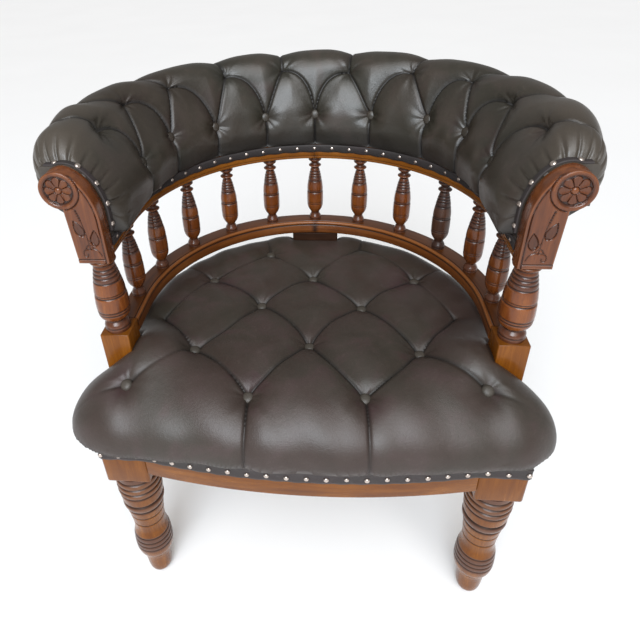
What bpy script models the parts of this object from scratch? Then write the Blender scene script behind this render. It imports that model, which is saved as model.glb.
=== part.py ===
# Tub chair: turned front legs, a spindle gallery between two horseshoe bows,
# a rolled and buttoned leather back, carved arm facings and a buttoned leather seat.
# Metres, +Z up, +Y to the back of the chair, origin on the floor under the middle of its box.
import math

import bmesh
import bpy
from mathutils import Vector
from mathutils.geometry import intersect_line_line_2d, intersect_point_line

for old in list(bpy.data.objects):
    bpy.data.objects.remove(old, do_unlink=True)

# Clearances
SEAM_GAP = 0.0003
SOCKET_CLEARANCE = 0.0003

# Gallery of spindles between the two bows
BOW_RADIUS = 0.2575
BOW_WIDTH = 0.032
BOW_RISE = 0.158
LOWER_BOW_THICKNESS = 0.023
GALLERY_HEIGHT = 0.1215
UPPER_BOW_THICKNESS = 0.026
ARM_SPINDLE_GAP = 0.0856
SPINDLE_PAIRS = 5
SPINDLE_BODY_RADIUS = 0.014
SPINDLE_FOOT_RADIUS = 0.0105
SPINDLE_CAP_RADIUS = 0.0115
SPINDLE_NECK_RADIUS = 0.0073
TENON_RADIUS = 0.005
TENON_LENGTH = 0.012

# Arm posts and the carved facings on the ends of the arms
POST_SETBACK = 0.069
POST_OFFSET = 0.0055
POST_BLOCK_WIDTH = 0.040
POST_BODY_RADIUS = 0.022
POST_FOOT_RADIUS = 0.0165
POST_NECK_RADIUS = 0.013
POST_CAP_RADIUS = 0.0175
FACING_WIDTH = 0.039
FACING_THICKNESS = 0.022
FACING_REACH = 0.0294
FACING_OFFSET = 0.003
FACING_SHOULDER = 0.055
ROSETTE_RADIUS = 0.023
ROSETTE_HEIGHT = 0.0975
ROSETTE_OUTSET = 0.0225
DOWEL_RADIUS = 0.005
DOWEL_LENGTH = 0.050

# Rolled back above the upper bow
ROLL_HEIGHT = 0.139
ROLL_WIDTH = 0.090
ROLL_ARM_WIDTH = 0.085
ROLL_ARM_DROP = 0.005
ROLL_DEPTH = 0.106
ROLL_INSET = 0.0025
ROLL_START_ANGLE = math.radians(148)
BACK_BELLY = 0.004
BACK_BELLY_HEIGHT = 0.032
ARM_BELLY = 0.016
ARM_BELLY_START = 0.26
ARM_BELLY_END = 0.38
ROLL_LIP_HEIGHT = 0.052
ROLL_END_TAPER = 0.83
ROLL_END_LENGTH = 0.100
ROLL_END_ROUND = 0.044
ROLL_LANDING = 0.0095
ROLL_CORE_OFFSET = 0.025
ROLL_CORE_HEIGHT = 0.056
ROLL_END_LAP = 0.0008
CREST_COVER = 0.0035
CREST_OUTSET = 0.040
CREST_WIDTH = 0.020
CREST_THICKNESS = 0.025
CREST_HEIGHT = 0.064
UPRIGHT_WIDTH = 0.020
UPRIGHT_DEPTH = 0.016
UPRIGHT_PAIRS = 3
COVER_THICKNESS = 0.0025
BAND_THICKNESS = 0.0025
BACK_BAND_HEIGHT = 0.013

# Buttons of the back: their places along the back as shares of its half length, lengths up the leather
BACK_BUTTONS = (-0.730, -0.545, -0.361, -0.175, 0, 0.199, 0.402, 0.564, 0.755)
BACK_CRESTS = (-0.809, -0.651, -0.479, -0.286, -0.103, 0.108, 0.306, 0.499, 0.669, 0.862)
BACK_BUTTON_RISE = 0.060
BACK_CREST_RISE = 0.134
BACK_PLEAT_RISE = 0.200
BACK_TUFT_DEPTH = 0.0135
BACK_CREST_DEPTH = 0.0085
BACK_FOLD_DEPTH = 0.006
BACK_PLEAT_DEPTH = 0.0036
BACK_FOLD_REACH = 0.037
BACK_KNEE_RUN = 0.009
BACK_KNEE_RISE = 0.015
CREST_FAN = 1.12

# Seat frame
SEAT_RAIL_TOP = 0.339
SEAT_RAIL_HEIGHT = 0.050
SEAT_RAIL_THICKNESS = 0.038
SEAT_OVERHANG = 0.0295
FRONT_BOW = 0.022
LEG_OFFSET = 0.0065
LEG_SETBACK = 0.119
LEG_BLOCK_WIDTH = 0.066
LEG_TURNED_HEIGHT = 0.269
LEG_TOP_RADIUS = 0.0315
LEG_WAIST_RADIUS = 0.025
LEG_ANKLE_RADIUS = 0.030
LEG_FOOT_RADIUS = 0.020
REAR_LEG_ANGLE = math.radians(45)
REAR_LEG_WIDTH = 0.044
REAR_FOOT_WIDTH = 0.032
REAR_LEG_RAKE = 0.045
BRACE_LENGTH = 0.045
SUPPORT_WIDTH = 0.082
SUPPORT_DEPTH = 0.030

# Seat upholstery
WEBBING_THICKNESS = 0.0025
HESSIAN_THICKNESS = 0.0015
WEBBING_INSET = 0.006
SEAT_BAND_HEIGHT = 0.018
SEAT_BULGE_FRONT = 0.036
SEAT_BULGE_SIDE = 0.041
SEAT_BULGE_BACK = 0.004
SEAT_WING_LENGTH = 0.067
SEAT_CORNER_RADIUS = 0.056
SEAT_FOOT_RADIUS = 0.012
SEAT_PAD_HEIGHT = 0.1215
SEAT_WIDE_HEIGHT = 0.040
SEAT_SHOULDER_FRONT = 0.096
SEAT_SHOULDER_BACK = 0.048
SHOULDER_POWER = 2.3
SEAT_SIDE_FALL = 0.009
SEAT_FRONT_FALL = 0.010
SEAT_BACK_FALL = 0.005
POST_MOUND = 0.006
POST_MOUND_SPREAD = 0.035
POST_MOUND_INSET = 0.027
NOTCH_REACH = 0.080

# Buttons of the seat, as shares of the legs' spread across and of the seat's round back along
SEAT_BUTTONS = ((-0.907, -0.477), (-0.288, -0.507), (0.287, -0.490), (0.870, -0.449),
                (-0.601, -0.226), (0.002, -0.167), (0.573, -0.200),
                (-0.851, 0.022), (-0.295, 0.150), (0.294, 0.145), (0.814, 0.078),
                (-0.630, 0.384), (0.002, 0.414), (0.628, 0.408),
                (-0.292, 0.664), (0.303, 0.737))
SEAT_TUFT_DEPTH = 0.0145
SEAT_FOLD_DEPTH = 0.0048
SEAT_FOLD_SPAN = 0.137
SEAT_FOLD_REACH = 0.042

# Facets of round and curved work
SPINDLE_SIDES = 12
POST_SIDES = 16
LEG_SIDES = 20
SOCKET_SIDES = 12
ARC_STEPS = 12
FRONT_STEPS = 8
ROLL_STEPS = 8
END_STEPS = 5
SEAT_CELLS = 16

# Derived levels and places
SEAT_RADIUS = BOW_RADIUS + SEAT_OVERHANG
LEG_X = BOW_RADIUS + LEG_OFFSET
LOWER_BOW_TOP = SEAT_RAIL_TOP + BOW_RISE
SEAT_FRONT_REACH = LEG_SETBACK + LEG_BLOCK_WIDTH / 2 + FRONT_BOW + SEAT_BULGE_FRONT
ROLL_BACK_REACH = BOW_RADIUS + ROLL_WIDTH - ROLL_INSET
BOW_CENTRE_Y = (SEAT_FRONT_REACH - ROLL_BACK_REACH) / 2
POST_X = BOW_RADIUS + POST_OFFSET
POST_Y = BOW_CENTRE_Y - POST_SETBACK
LEG_Y = BOW_CENTRE_Y - LEG_SETBACK
UPPER_BOW_BASE = LOWER_BOW_TOP + GALLERY_HEIGHT
UPPER_BOW_TOP = UPPER_BOW_BASE + UPPER_BOW_THICKNESS
FACING_FRONT = POST_Y - FACING_REACH
FACING_BACK = FACING_FRONT + FACING_THICKNESS
SEAT_RAIL_BASE = SEAT_RAIL_TOP - SEAT_RAIL_HEIGHT
PAD_BASE = SEAT_RAIL_TOP + WEBBING_THICKNESS + HESSIAN_THICKNESS + 3 * SEAM_GAP
QUARTER_RUN = BOW_RADIUS * math.pi / 2
UPPER_END_RUN = QUARTER_RUN + BOW_CENTRE_Y - FACING_BACK - SEAM_GAP
LOWER_END_RUN = QUARTER_RUN + POST_SETBACK - POST_BLOCK_WIDTH / 2 - SEAM_GAP
SPINDLE_SPACING = (UPPER_END_RUN - ARM_SPINDLE_GAP) / SPINDLE_PAIRS
UPRIGHT_SPACING = UPPER_END_RUN / UPRIGHT_PAIRS
COVER_FOOT = BOW_WIDTH / 2 - COVER_THICKNESS - SEAM_GAP
COVER_HEAD = CREST_OUTSET + CREST_WIDTH / 2 - COVER_THICKNESS
FACET_SAG = ROLL_BACK_REACH * (1 - math.cos(math.pi / 4 / ARC_STEPS))
SIDES = (("left", -1), ("right", 1))

chair = bpy.data.objects.new("chair", None)
bpy.context.collection.objects.link(chair)


def make_material(name, colour, roughness, metallic=0.0):
    material = bpy.data.materials.new(name)
    material.use_nodes = True
    shader = material.node_tree.nodes["Principled BSDF"]
    shader.inputs["Base Color"].default_value = (*colour, 1)
    shader.inputs["Roughness"].default_value = roughness
    shader.inputs["Metallic"].default_value = metallic
    return material


RED_WOOD = make_material("red_brown_walnut", (0.13, 0.035, 0.016), 0.38)
RAIL_WOOD = make_material("golden_brown_walnut", (0.20, 0.075, 0.022), 0.36)
FRAME_WOOD = make_material("plain_beech", (0.34, 0.20, 0.10), 0.6)
SEAT_LEATHER = make_material("seat_leather", (0.035, 0.028, 0.025), 0.42)
BACK_LEATHER = make_material("back_leather", (0.026, 0.023, 0.020), 0.42)
BAND_LEATHER = make_material("banding_leather", (0.018, 0.016, 0.015), 0.5)
WEBBING = make_material("jute_webbing", (0.30, 0.22, 0.13), 0.9)
HESSIAN = make_material("hessian_cloth", (0.36, 0.27, 0.16), 0.95)


def add_object(name, bm, material, smooth_angle=0.6):
    bmesh.ops.recalc_face_normals(bm, faces=bm.faces)
    mesh = bpy.data.meshes.new(name)
    bm.to_mesh(mesh)
    bm.free()
    mesh.shade_smooth()
    mesh.set_sharp_from_angle(angle=smooth_angle)
    item = bpy.data.objects.new(name, mesh)
    bpy.context.collection.objects.link(item)
    item.parent = chair
    if material:
        mesh.materials.append(material)
    return item


def hide_tool(item):
    item.hide_render = True
    item.display_type = "WIRE"
    return item


def apply_boolean(item, tool, operation):
    modifier = item.modifiers.new(operation.lower(), "BOOLEAN")
    modifier.operation = operation
    modifier.object = tool
    modifier.solver = "EXACT"


def add_box(bm, low, high):
    corners = bmesh.ops.create_cube(bm, size=1)["verts"]
    for corner in corners:
        corner.co = [low[i] + (corner.co[i] + 0.5) * (high[i] - low[i]) for i in range(3)]


def add_cylinder(bm, radius, base, top, sides):
    rims = []
    for centre in (Vector(base), Vector(top)):
        axis = (Vector(top) - Vector(base)).normalized()
        across = axis.orthogonal().normalized()
        upward = axis.cross(across)
        angles = [2 * math.pi * i / sides for i in range(sides)]
        rims.append([bm.verts.new(centre + radius * (across * math.cos(a) + upward * math.sin(a)))
                     for a in angles])
    bm.faces.new(rims[0][::-1])
    bm.faces.new(rims[1])
    for i in range(sides):
        j = (i + 1) % sides
        bm.faces.new((rims[0][i], rims[0][j], rims[1][j], rims[1][i]))


def loft(name, rings, material, closed=False):
    # Solid through rings of points, capped at both ends or joined end to end.
    bm = bmesh.new()
    rows = [[bm.verts.new(point) for point in ring] for ring in rings]
    pairs = list(zip(rows, rows[1:]))
    if closed:
        pairs.append((rows[-1], rows[0]))
    else:
        bm.faces.new(rows[0])
        bm.faces.new(rows[-1])
    for row, following in pairs:
        for i in range(len(row)):
            j = (i + 1) % len(row)
            bm.faces.new((row[i], row[j], following[j], following[i]))
    return add_object(name, bm, material)


def turned(name, profile, sides, material):
    # Turning about Z from (radius, height) pairs that start and end on the axis.
    bm = bmesh.new()
    points = [bm.verts.new((radius, 0, height)) for radius, height in profile]
    edges = [bm.edges.new(pair) for pair in zip(points, points[1:])]
    bmesh.ops.spin(bm, geom=points + edges, axis=(0, 0, 1), cent=(0, 0, 0),
                   steps=sides, angle=2 * math.pi, use_merge=True)
    bmesh.ops.remove_doubles(bm, verts=bm.verts, dist=0.00001)
    return add_object(name, bm, material)


def bow_station(run):
    # Point on the bows' centre line and its outward direction, a run away from the middle of the back.
    side = math.copysign(1, run)
    length = abs(run)
    if length <= QUARTER_RUN:
        angle = length / BOW_RADIUS
        outward = Vector((side * math.sin(angle), math.cos(angle), 0))
        return Vector((0, BOW_CENTRE_Y, 0)) + outward * BOW_RADIUS, outward
    point = Vector((side * BOW_RADIUS, BOW_CENTRE_Y - (length - QUARTER_RUN), 0))
    return point, Vector((side, 0, 0))


def bow_runs(start, end):
    # Runs from start to end with a stop at each step of the curve, start and end on the same side.
    step = QUARTER_RUN / ARC_STEPS
    stops = [start] + [i * step for i in range(1, ARC_STEPS + 1)] + [end]
    return [run for run in stops if start <= run <= end]


def bow_ring(run, section):
    point, outward = bow_station(run)
    return [point + outward * offset + Vector((0, 0, height)) for offset, height in section]


def spindle_runs():
    return [i * SPINDLE_SPACING for i in range(-SPINDLE_PAIRS, SPINDLE_PAIRS + 1)]


def make_socket_cutter():
    # One round cutter through both bows at each spindle, and one above each arm post.
    bm = bmesh.new()
    radius = TENON_RADIUS + SOCKET_CLEARANCE
    depth = TENON_LENGTH + SOCKET_CLEARANCE
    for run in spindle_runs():
        point, outward = bow_station(run)
        base = point + Vector((0, 0, LOWER_BOW_TOP - depth))
        add_cylinder(bm, radius, base, base + Vector((0, 0, GALLERY_HEIGHT + 2 * depth)), SOCKET_SIDES)
    for name, side in SIDES:
        base = Vector((side * POST_X, POST_Y, UPPER_BOW_BASE - depth))
        add_cylinder(bm, radius, base, base + Vector((0, 0, 2 * depth)), SOCKET_SIDES)
    return hide_tool(add_object("socket_cutter", bm, None))


def make_dowel_cutter():
    # Bores through the ends of the lower bow into the arm posts.
    bm = bmesh.new()
    for name, side in SIDES:
        middle = dowel_middle(side)
        reach = Vector((0, DOWEL_LENGTH / 2 + SOCKET_CLEARANCE, 0))
        add_cylinder(bm, DOWEL_RADIUS + SOCKET_CLEARANCE, middle - reach, middle + reach, SOCKET_SIDES)
    return hide_tool(add_object("dowel_cutter", bm, None))


def dowel_middle(side):
    height = LOWER_BOW_TOP - LOWER_BOW_THICKNESS / 2
    return Vector((side * BOW_RADIUS, POST_Y + POST_BLOCK_WIDTH / 2, height))


def make_bow(name, side, top, thickness, end_run, cutters):
    half = BOW_WIDTH / 2
    section = [(-half, top - thickness), (half, top - thickness), (half, top), (-half, top)]
    runs = bow_runs(SEAM_GAP / 2, end_run)
    bow = loft(name, [bow_ring(side * run, section) for run in runs], RAIL_WOOD)
    for cutter in cutters:
        apply_boolean(bow, cutter, "DIFFERENCE")
    return bow


def make_dowel(name, side):
    bm = bmesh.new()
    middle = dowel_middle(side)
    reach = Vector((0, DOWEL_LENGTH / 2, 0))
    add_cylinder(bm, DOWEL_RADIUS, middle - reach, middle + reach, SOCKET_SIDES)
    return add_object(name, bm, FRAME_WOOD)


def spindle_profile():
    # Flared cap, neck, collar and a vase body above a narrow ankle and a flared foot, with end tenons.
    low = SEAM_GAP
    length = GALLERY_HEIGHT - 2 * SEAM_GAP
    collar = SPINDLE_NECK_RADIUS * 1.3
    ankle = SPINDLE_FOOT_RADIUS * 0.75
    turns = [(SPINDLE_CAP_RADIUS, 1), (SPINDLE_CAP_RADIUS, 0.965), (SPINDLE_NECK_RADIUS, 0.90),
             (SPINDLE_NECK_RADIUS, 0.87), (collar, 0.845), (SPINDLE_NECK_RADIUS * 1.1, 0.81),
             (SPINDLE_BODY_RADIUS * 0.80, 0.65), (SPINDLE_BODY_RADIUS, 0.40),
             (SPINDLE_BODY_RADIUS, 0.22), (SPINDLE_BODY_RADIUS * 0.88, 0.13), (ankle, 0.07),
             (SPINDLE_FOOT_RADIUS, 0.025), (SPINDLE_FOOT_RADIUS, 0)]
    body = [(radius, low + share * length) for radius, share in turns]
    top = GALLERY_HEIGHT + TENON_LENGTH
    return ([(0, top), (TENON_RADIUS, top), (TENON_RADIUS, low + length)] + body
            + [(TENON_RADIUS, low), (TENON_RADIUS, -TENON_LENGTH), (0, -TENON_LENGTH)])


def make_spindles():
    # The first spindle's turning is shared by the others.
    mesh = None
    for number, run in enumerate(spindle_runs(), start=1):
        name = f"spindle_{number:02d}"
        if mesh is None:
            spindle = turned(name, spindle_profile(), SPINDLE_SIDES, RED_WOOD)
            mesh = spindle.data
        else:
            spindle = bpy.data.objects.new(name, mesh)
            bpy.context.collection.objects.link(spindle)
            spindle.parent = chair
        spindle.location = bow_station(run)[0] + Vector((0, 0, LOWER_BOW_TOP))


def post_profile():
    # Foot ring, swelling body, collar and cap, with a tenon above and a stub inside the block below.
    length = GALLERY_HEIGHT - SEAM_GAP
    stub = POST_BLOCK_WIDTH / 4
    turns = [(POST_CAP_RADIUS, 1), (POST_CAP_RADIUS, 0.93), (POST_NECK_RADIUS, 0.88),
             (POST_NECK_RADIUS, 0.83), (POST_NECK_RADIUS * 1.15, 0.79), (POST_NECK_RADIUS * 1.05, 0.74),
             (POST_BODY_RADIUS * 0.86, 0.56), (POST_BODY_RADIUS, 0.38), (POST_BODY_RADIUS, 0.26),
             (POST_BODY_RADIUS * 0.84, 0.16), (POST_FOOT_RADIUS * 0.8, 0.12),
             (POST_FOOT_RADIUS, 0.07), (POST_FOOT_RADIUS, 0.02)]
    body = [(radius, share * length) for radius, share in turns]
    top = GALLERY_HEIGHT + TENON_LENGTH
    return ([(0, top), (TENON_RADIUS, top), (TENON_RADIUS, length)] + body
            + [(POST_FOOT_RADIUS * 0.9, 0), (POST_FOOT_RADIUS * 0.9, -stub), (0, -stub)])


def make_post_block(name, side):
    bm = bmesh.new()
    half = POST_BLOCK_WIDTH / 2
    add_box(bm, (-half, -half, SEAT_RAIL_TOP + SEAM_GAP - LOWER_BOW_TOP), (half, half, 0))
    block = hide_tool(add_object(name, bm, None))
    block.location = (side * POST_X, POST_Y, LOWER_BOW_TOP)
    return block


def make_arm_post(name, side, dowel_cutter):
    post = turned(name, post_profile(), POST_SIDES, RED_WOOD)
    post.location = (side * POST_X, POST_Y, LOWER_BOW_TOP)
    apply_boolean(post, make_post_block(name + "_block", side), "UNION")
    apply_boolean(post, dowel_cutter, "DIFFERENCE")
    return post


def facing_outline():
    # Across and up from the middle of the facing's foot: curved inner edge, round end, straight outer edge.
    half = FACING_WIDTH / 2
    crown = ROSETTE_HEIGHT + ROSETTE_RADIUS - FACING_SHOULDER
    reach = ROSETTE_OUTSET + half
    quarter = [math.pi / 2 * i / ARC_STEPS for i in range(ARC_STEPS)]
    inner = [(ROSETTE_OUTSET - reach * math.cos(a), FACING_SHOULDER + crown * math.sin(a)) for a in quarter]
    around = [math.pi / 2 - math.pi * i / ARC_STEPS for i in range(ARC_STEPS + 1)]
    rosette = [(ROSETTE_OUTSET + ROSETTE_RADIUS * math.cos(a), ROSETTE_HEIGHT + ROSETTE_RADIUS * math.sin(a))
               for a in around]
    return [(-half, 0)] + inner + rosette + [(half, 0)]


def make_facing(name, side):
    def ring(y):
        middle = POST_X - FACING_OFFSET
        return [Vector((side * (middle + across), y, UPPER_BOW_BASE + up)) for across, up in facing_outline()]
    return loft(name, [ring(FACING_FRONT), ring(FACING_BACK)], RED_WOOD)


def end_taper(run):
    # The roll shrinks a little towards the facing over the last stretch of each arm.
    left = UPPER_END_RUN - abs(run)
    ease = max(0, 1 - left / ROLL_END_LENGTH)
    return 1 - (1 - ROLL_END_TAPER) * ease ** 2


def ease(value, low, high):
    # Smooth step from 0 at low to 1 at high.
    share = min(1, max(0, (value - low) / (high - low)))
    return share * share * (3 - 2 * share)


def fold_depth(place, folds, reach):
    # How far the buttons and the folds between them draw the leather in at a place on it.
    total = 0
    for start, end, (first, middle, last) in folds:
        way = end - start
        share = min(1, max(0, (place - start).dot(way) / way.length_squared))
        gap = (place - start - way * share).length
        deep = middle + ((first if share < 0.5 else last) - middle) * (2 * share - 1) ** 2
        total += (deep * max(0, 1 - gap / reach) ** 2) ** 4
    return total ** 0.25


def back_folds():
    # Runs along the back and lengths up the leather: a pleat below each button, bent folds up to the crests
    # beside it, and a pleat from each crest over the top.
    buttons = [Vector((share * UPPER_END_RUN, BACK_BUTTON_RISE)) for share in BACK_BUTTONS]
    crests = [Vector((share * UPPER_END_RUN, BACK_CREST_RISE)) for share in BACK_CRESTS]
    folds = []
    for i, button in enumerate(buttons):
        folds.append((button, Vector((button.x, 0)), (BACK_TUFT_DEPTH, BACK_PLEAT_DEPTH, 0)))
        for crest in crests[i:i + 2]:
            knee = (button + crest) / 2
            if abs(button.x) < abs(crest.x):
                knee += Vector((math.copysign(BACK_KNEE_RUN, button.x - crest.x), BACK_KNEE_RISE))
            folds.append((button, knee, (BACK_TUFT_DEPTH, BACK_FOLD_DEPTH, BACK_FOLD_DEPTH)))
            folds.append((knee, crest, (BACK_FOLD_DEPTH, BACK_FOLD_DEPTH, BACK_CREST_DEPTH)))
    for crest in crests:
        over = Vector((crest.x * CREST_FAN, BACK_PLEAT_RISE))
        folds.append((crest, over, (BACK_CREST_DEPTH, BACK_PLEAT_DEPTH, BACK_PLEAT_DEPTH / 2)))
    return folds


def roll_outline(run):
    # Outside of the rolled back, from its foot on the bow up the inner face and over to the outer lip.
    half = BOW_WIDTH / 2
    share = abs(run) / UPPER_END_RUN
    width = ROLL_WIDTH + (ROLL_ARM_WIDTH - ROLL_WIDTH) * share ** 2
    across = width / 2 - ROLL_INSET
    centre = ROLL_HEIGHT - ROLL_DEPTH / 2
    last = -math.asin((centre - ROLL_LIP_HEIGHT) / (ROLL_DEPTH / 2))
    turn = last - ROLL_START_ANGLE
    angles = [ROLL_START_ANGLE + turn * i / ROLL_STEPS for i in range(ROLL_STEPS + 1)]
    arm = ARM_BELLY * ease(abs(run), ARM_BELLY_START, ARM_BELLY_END)
    # Rises up the inner face, with the share of the back's own belly and of the arm's at each.
    rises = [(0.03, 0.9, 0.9), (0.31, 1, 1), (1, 1, 1), (1.75, 0.4, 0.8), (2.56, -1.5, 0.5)]
    points = [(-half - BACK_BELLY * own - arm * also, BACK_BELLY_HEIGHT * rise) for rise, own, also in rises]
    drop = ROLL_ARM_DROP * share
    points += [(across + width / 2 * math.cos(a), centre - drop + ROLL_DEPTH / 2 * math.sin(a))
               for a in angles]
    taper = end_taper(run)
    tapered = []
    for offset, height in points:
        kept = 1 + (taper - 1) * ease(height, 0, BACK_BELLY_HEIGHT)
        tapered.append((ROSETTE_OUTSET + (offset - ROSETTE_OUTSET) * kept, height * kept))
    return [(-half, SEAM_GAP)] + rounded_end(tapered, run)


def end_edge():
    # Where the leather lands on the facing's back: round its inner edge and over the crest rail's end.
    shift = POST_X - FACING_OFFSET - BOW_RADIUS
    edge = [(across + shift - ROLL_END_LAP, up - UPPER_BOW_THICKNESS + ROLL_END_LAP)
            for across, up in facing_outline()[:ARC_STEPS + 2]]
    outer = CREST_OUTSET + CREST_WIDTH / 2 + CREST_COVER
    return edge + [(outer, CREST_HEIGHT + CREST_THICKNESS + CREST_COVER), (outer, 0)]


def rounded_end(points, run):
    # The last stretch of each arm closes in on the facing like the end of a pillow.
    left = UPPER_END_RUN - abs(run)
    if left >= ROLL_END_ROUND:
        return points
    share = max(0, (left - ROLL_LANDING) / (ROLL_END_ROUND - ROLL_LANDING))
    pull = 1 - math.sqrt(1 - (1 - share) ** 2)
    core = Vector((ROLL_CORE_OFFSET, ROLL_CORE_HEIGHT))
    edge = [Vector(point) for point in end_edge()]
    pulled = []
    for point in points:
        reach = Vector(point) - core
        far = core + reach.normalized() * (ROLL_WIDTH + ROLL_DEPTH)
        hits = [intersect_line_line_2d(core, far, a, b) for a, b in zip(edge, edge[1:])]
        goals = [(hit - core).length for hit in hits if hit]
        goal = min(goals + [reach.length])
        pulled.append(core + reach * (1 + (goal / reach.length - 1) * pull))
    return [tuple(point) for point in pulled]


def roll_lengths():
    # Lengths up the leather to each point of the outline, at the middle of the back.
    outline = [Vector(point) for point in roll_outline(0)]
    lengths = [0]
    for here, following in zip(outline, outline[1:]):
        lengths.append(lengths[-1] + (following - here).length)
    return lengths


def buttoned_outline(run, lengths, folds):
    # The outline drawn in at the buttons and folds, and full again at the ends of the arms.
    outline = [Vector(point) for point in roll_outline(run)]
    fullness = ease(UPPER_END_RUN - abs(run), 0, ROLL_END_ROUND)
    moved = outline[:2]
    for i in range(2, len(outline) - 1):
        along = (outline[i + 1] - outline[i - 1]).normalized()
        sink = fold_depth(Vector((run, lengths[i])), folds, BACK_FOLD_REACH) * fullness
        moved.append(outline[i] + Vector((along.y, -along.x)) * sink)
    return [tuple(point) for point in moved + outline[-1:]]


def roll_section(run, lengths, folds):
    # The outer lip turns in behind the crest rail, and the pad runs down in front of the uprights.
    inner = CREST_OUTSET - CREST_WIDTH / 2 - SEAM_GAP
    outer = CREST_OUTSET + CREST_WIDTH / 2 + SEAM_GAP
    crown = CREST_HEIGHT + CREST_THICKNESS + SEAM_GAP
    foot = upright_foot() - UPRIGHT_DEPTH / 2 - SEAM_GAP
    back = [(outer, ROLL_LIP_HEIGHT * end_taper(run)), (outer, crown), (inner, crown),
            (inner, CREST_HEIGHT - SEAM_GAP), (foot, SEAM_GAP)]
    section = buttoned_outline(run, lengths, folds) + back
    return [(offset, UPPER_BOW_TOP + height) for offset, height in section]


def upright_foot():
    # Inside the cover's foot, clear of its facets.
    return COVER_FOOT - SEAM_GAP - FACET_SAG - UPRIGHT_DEPTH / 2


def upright_head():
    return COVER_HEAD - SEAM_GAP - FACET_SAG - UPRIGHT_DEPTH / 2


def around_runs(stops):
    # Stops on both arms in one row, from the left end through the middle of the back to the right end.
    return [-run for run in reversed(stops)] + [0] + stops


def facet_ring(run, section):
    # Ring on the straight facet between two stops of the curve, as the crest rail inside it has.
    step = QUARTER_RUN / ARC_STEPS
    if abs(run) >= QUARTER_RUN:
        return bow_ring(run, section)
    low = math.floor(run / step) * step
    share = (run - low) / step
    rings = zip(bow_ring(low, section), bow_ring(low + step, section))
    return [near.lerp(far, share) for near, far in rings]


def make_back_cushion():
    step = QUARTER_RUN / ARC_STEPS / 2
    stops = [i * step for i in range(1, 2 * ARC_STEPS + 1)]
    shares = [(1 - i / END_STEPS) ** 2 for i in range(END_STEPS + 1)]
    stops += [UPPER_END_RUN - ROLL_LANDING - (ROLL_END_ROUND - ROLL_LANDING) * share for share in shares]
    stops.append(UPPER_END_RUN)
    lengths, folds = roll_lengths(), back_folds()
    rings = [facet_ring(run, roll_section(run, lengths, folds)) for run in around_runs(stops)]
    return loft("back_cushion", rings, BACK_LEATHER)


def sweep_around(name, section, material):
    # One piece swept right round the horseshoe.
    stops = bow_runs(0, UPPER_END_RUN)[1:]
    return loft(name, [bow_ring(run, section) for run in around_runs(stops)], material)


def make_crest_rail():
    low = UPPER_BOW_TOP + CREST_HEIGHT
    high = low + CREST_THICKNESS
    inner = CREST_OUTSET - CREST_WIDTH / 2
    outer = CREST_OUTSET + CREST_WIDTH / 2
    section = [(inner, low), (outer, low), (outer, high), (inner, high)]
    return sweep_around("crest_rail", section, FRAME_WOOD)


def make_uprights():
    # Slanting stays that carry the crest rail on the upper bow.
    half = UPRIGHT_DEPTH / 2
    ends = [(upright_foot(), UPPER_BOW_TOP + SEAM_GAP),
            (upright_head(), UPPER_BOW_TOP + CREST_HEIGHT - SEAM_GAP)]
    runs = [(i + 0.5) * UPRIGHT_SPACING for i in range(UPRIGHT_PAIRS)]
    for number, run in enumerate([-run for run in reversed(runs)] + runs, start=1):
        point, outward = bow_station(run)
        along = Vector((-outward.y, outward.x, 0)) * UPRIGHT_WIDTH / 2
        rings = []
        for offset, height in ends:
            inner = point + outward * (offset - half) + Vector((0, 0, height))
            outer = point + outward * (offset + half) + Vector((0, 0, height))
            rings.append([inner - along, outer - along, outer + along, inner + along])
        loft(f"back_upright_{number}", rings, FRAME_WOOD)


def make_outside_cover():
    # Leather sheet over the outside of the stays, from the crest rail down to the bow.
    low = UPPER_BOW_TOP + SEAM_GAP
    high = UPPER_BOW_TOP + CREST_HEIGHT - SEAM_GAP
    section = [(COVER_FOOT, low), (COVER_FOOT + COVER_THICKNESS, low),
               (COVER_HEAD + COVER_THICKNESS, high), (COVER_HEAD, high)]
    return sweep_around("outside_back_cover", section, BACK_LEATHER)


def make_back_band():
    # Nailing strip along the inner face of the upper bow.
    face = -BOW_WIDTH / 2 - SEAM_GAP
    low = UPPER_BOW_TOP - BACK_BAND_HEIGHT
    section = [(face - BAND_THICKNESS, low), (face, low), (face, UPPER_BOW_TOP),
               (face - BAND_THICKNESS, UPPER_BOW_TOP)]
    return sweep_around("back_nailing_band", section, BAND_LEATHER)


def front_line(x):
    # Bowed front face of the seat rail, flush with the leg blocks at its ends.
    inner = LEG_X - LEG_BLOCK_WIDTH / 2
    return LEG_Y - LEG_BLOCK_WIDTH / 2 - FRONT_BOW * max(0, 1 - (x / inner) ** 2)


def seat_half_outline(corner_radius):
    # Right half of the seat frame's outer line, from the middle of the front to the middle of the back.
    outer = LEG_X + LEG_BLOCK_WIDTH / 2
    front = LEG_Y - LEG_BLOCK_WIDTH / 2
    corner_x = outer - corner_radius
    inner = min(LEG_X - LEG_BLOCK_WIDTH / 2, corner_x)
    points = [(inner * i / FRONT_STEPS, front_line(inner * i / FRONT_STEPS)) for i in range(FRONT_STEPS + 1)]
    steps = ARC_STEPS // 2 if corner_radius > 0 else 0
    for i in range(steps + 1):
        angle = -math.pi / 2 * (1 - i / steps) if steps else 0
        points.append((corner_x + corner_radius * math.cos(angle),
                       front + corner_radius * (1 + math.sin(angle))))
    points.append((outer, LEG_Y + LEG_BLOCK_WIDTH / 2))
    for i in range(ARC_STEPS + 1):
        angle = math.pi / 2 * i / ARC_STEPS
        points.append((SEAT_RADIUS * math.cos(angle), BOW_CENTRE_Y + SEAT_RADIUS * math.sin(angle)))
    return [Vector(point) for point in points]


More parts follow.
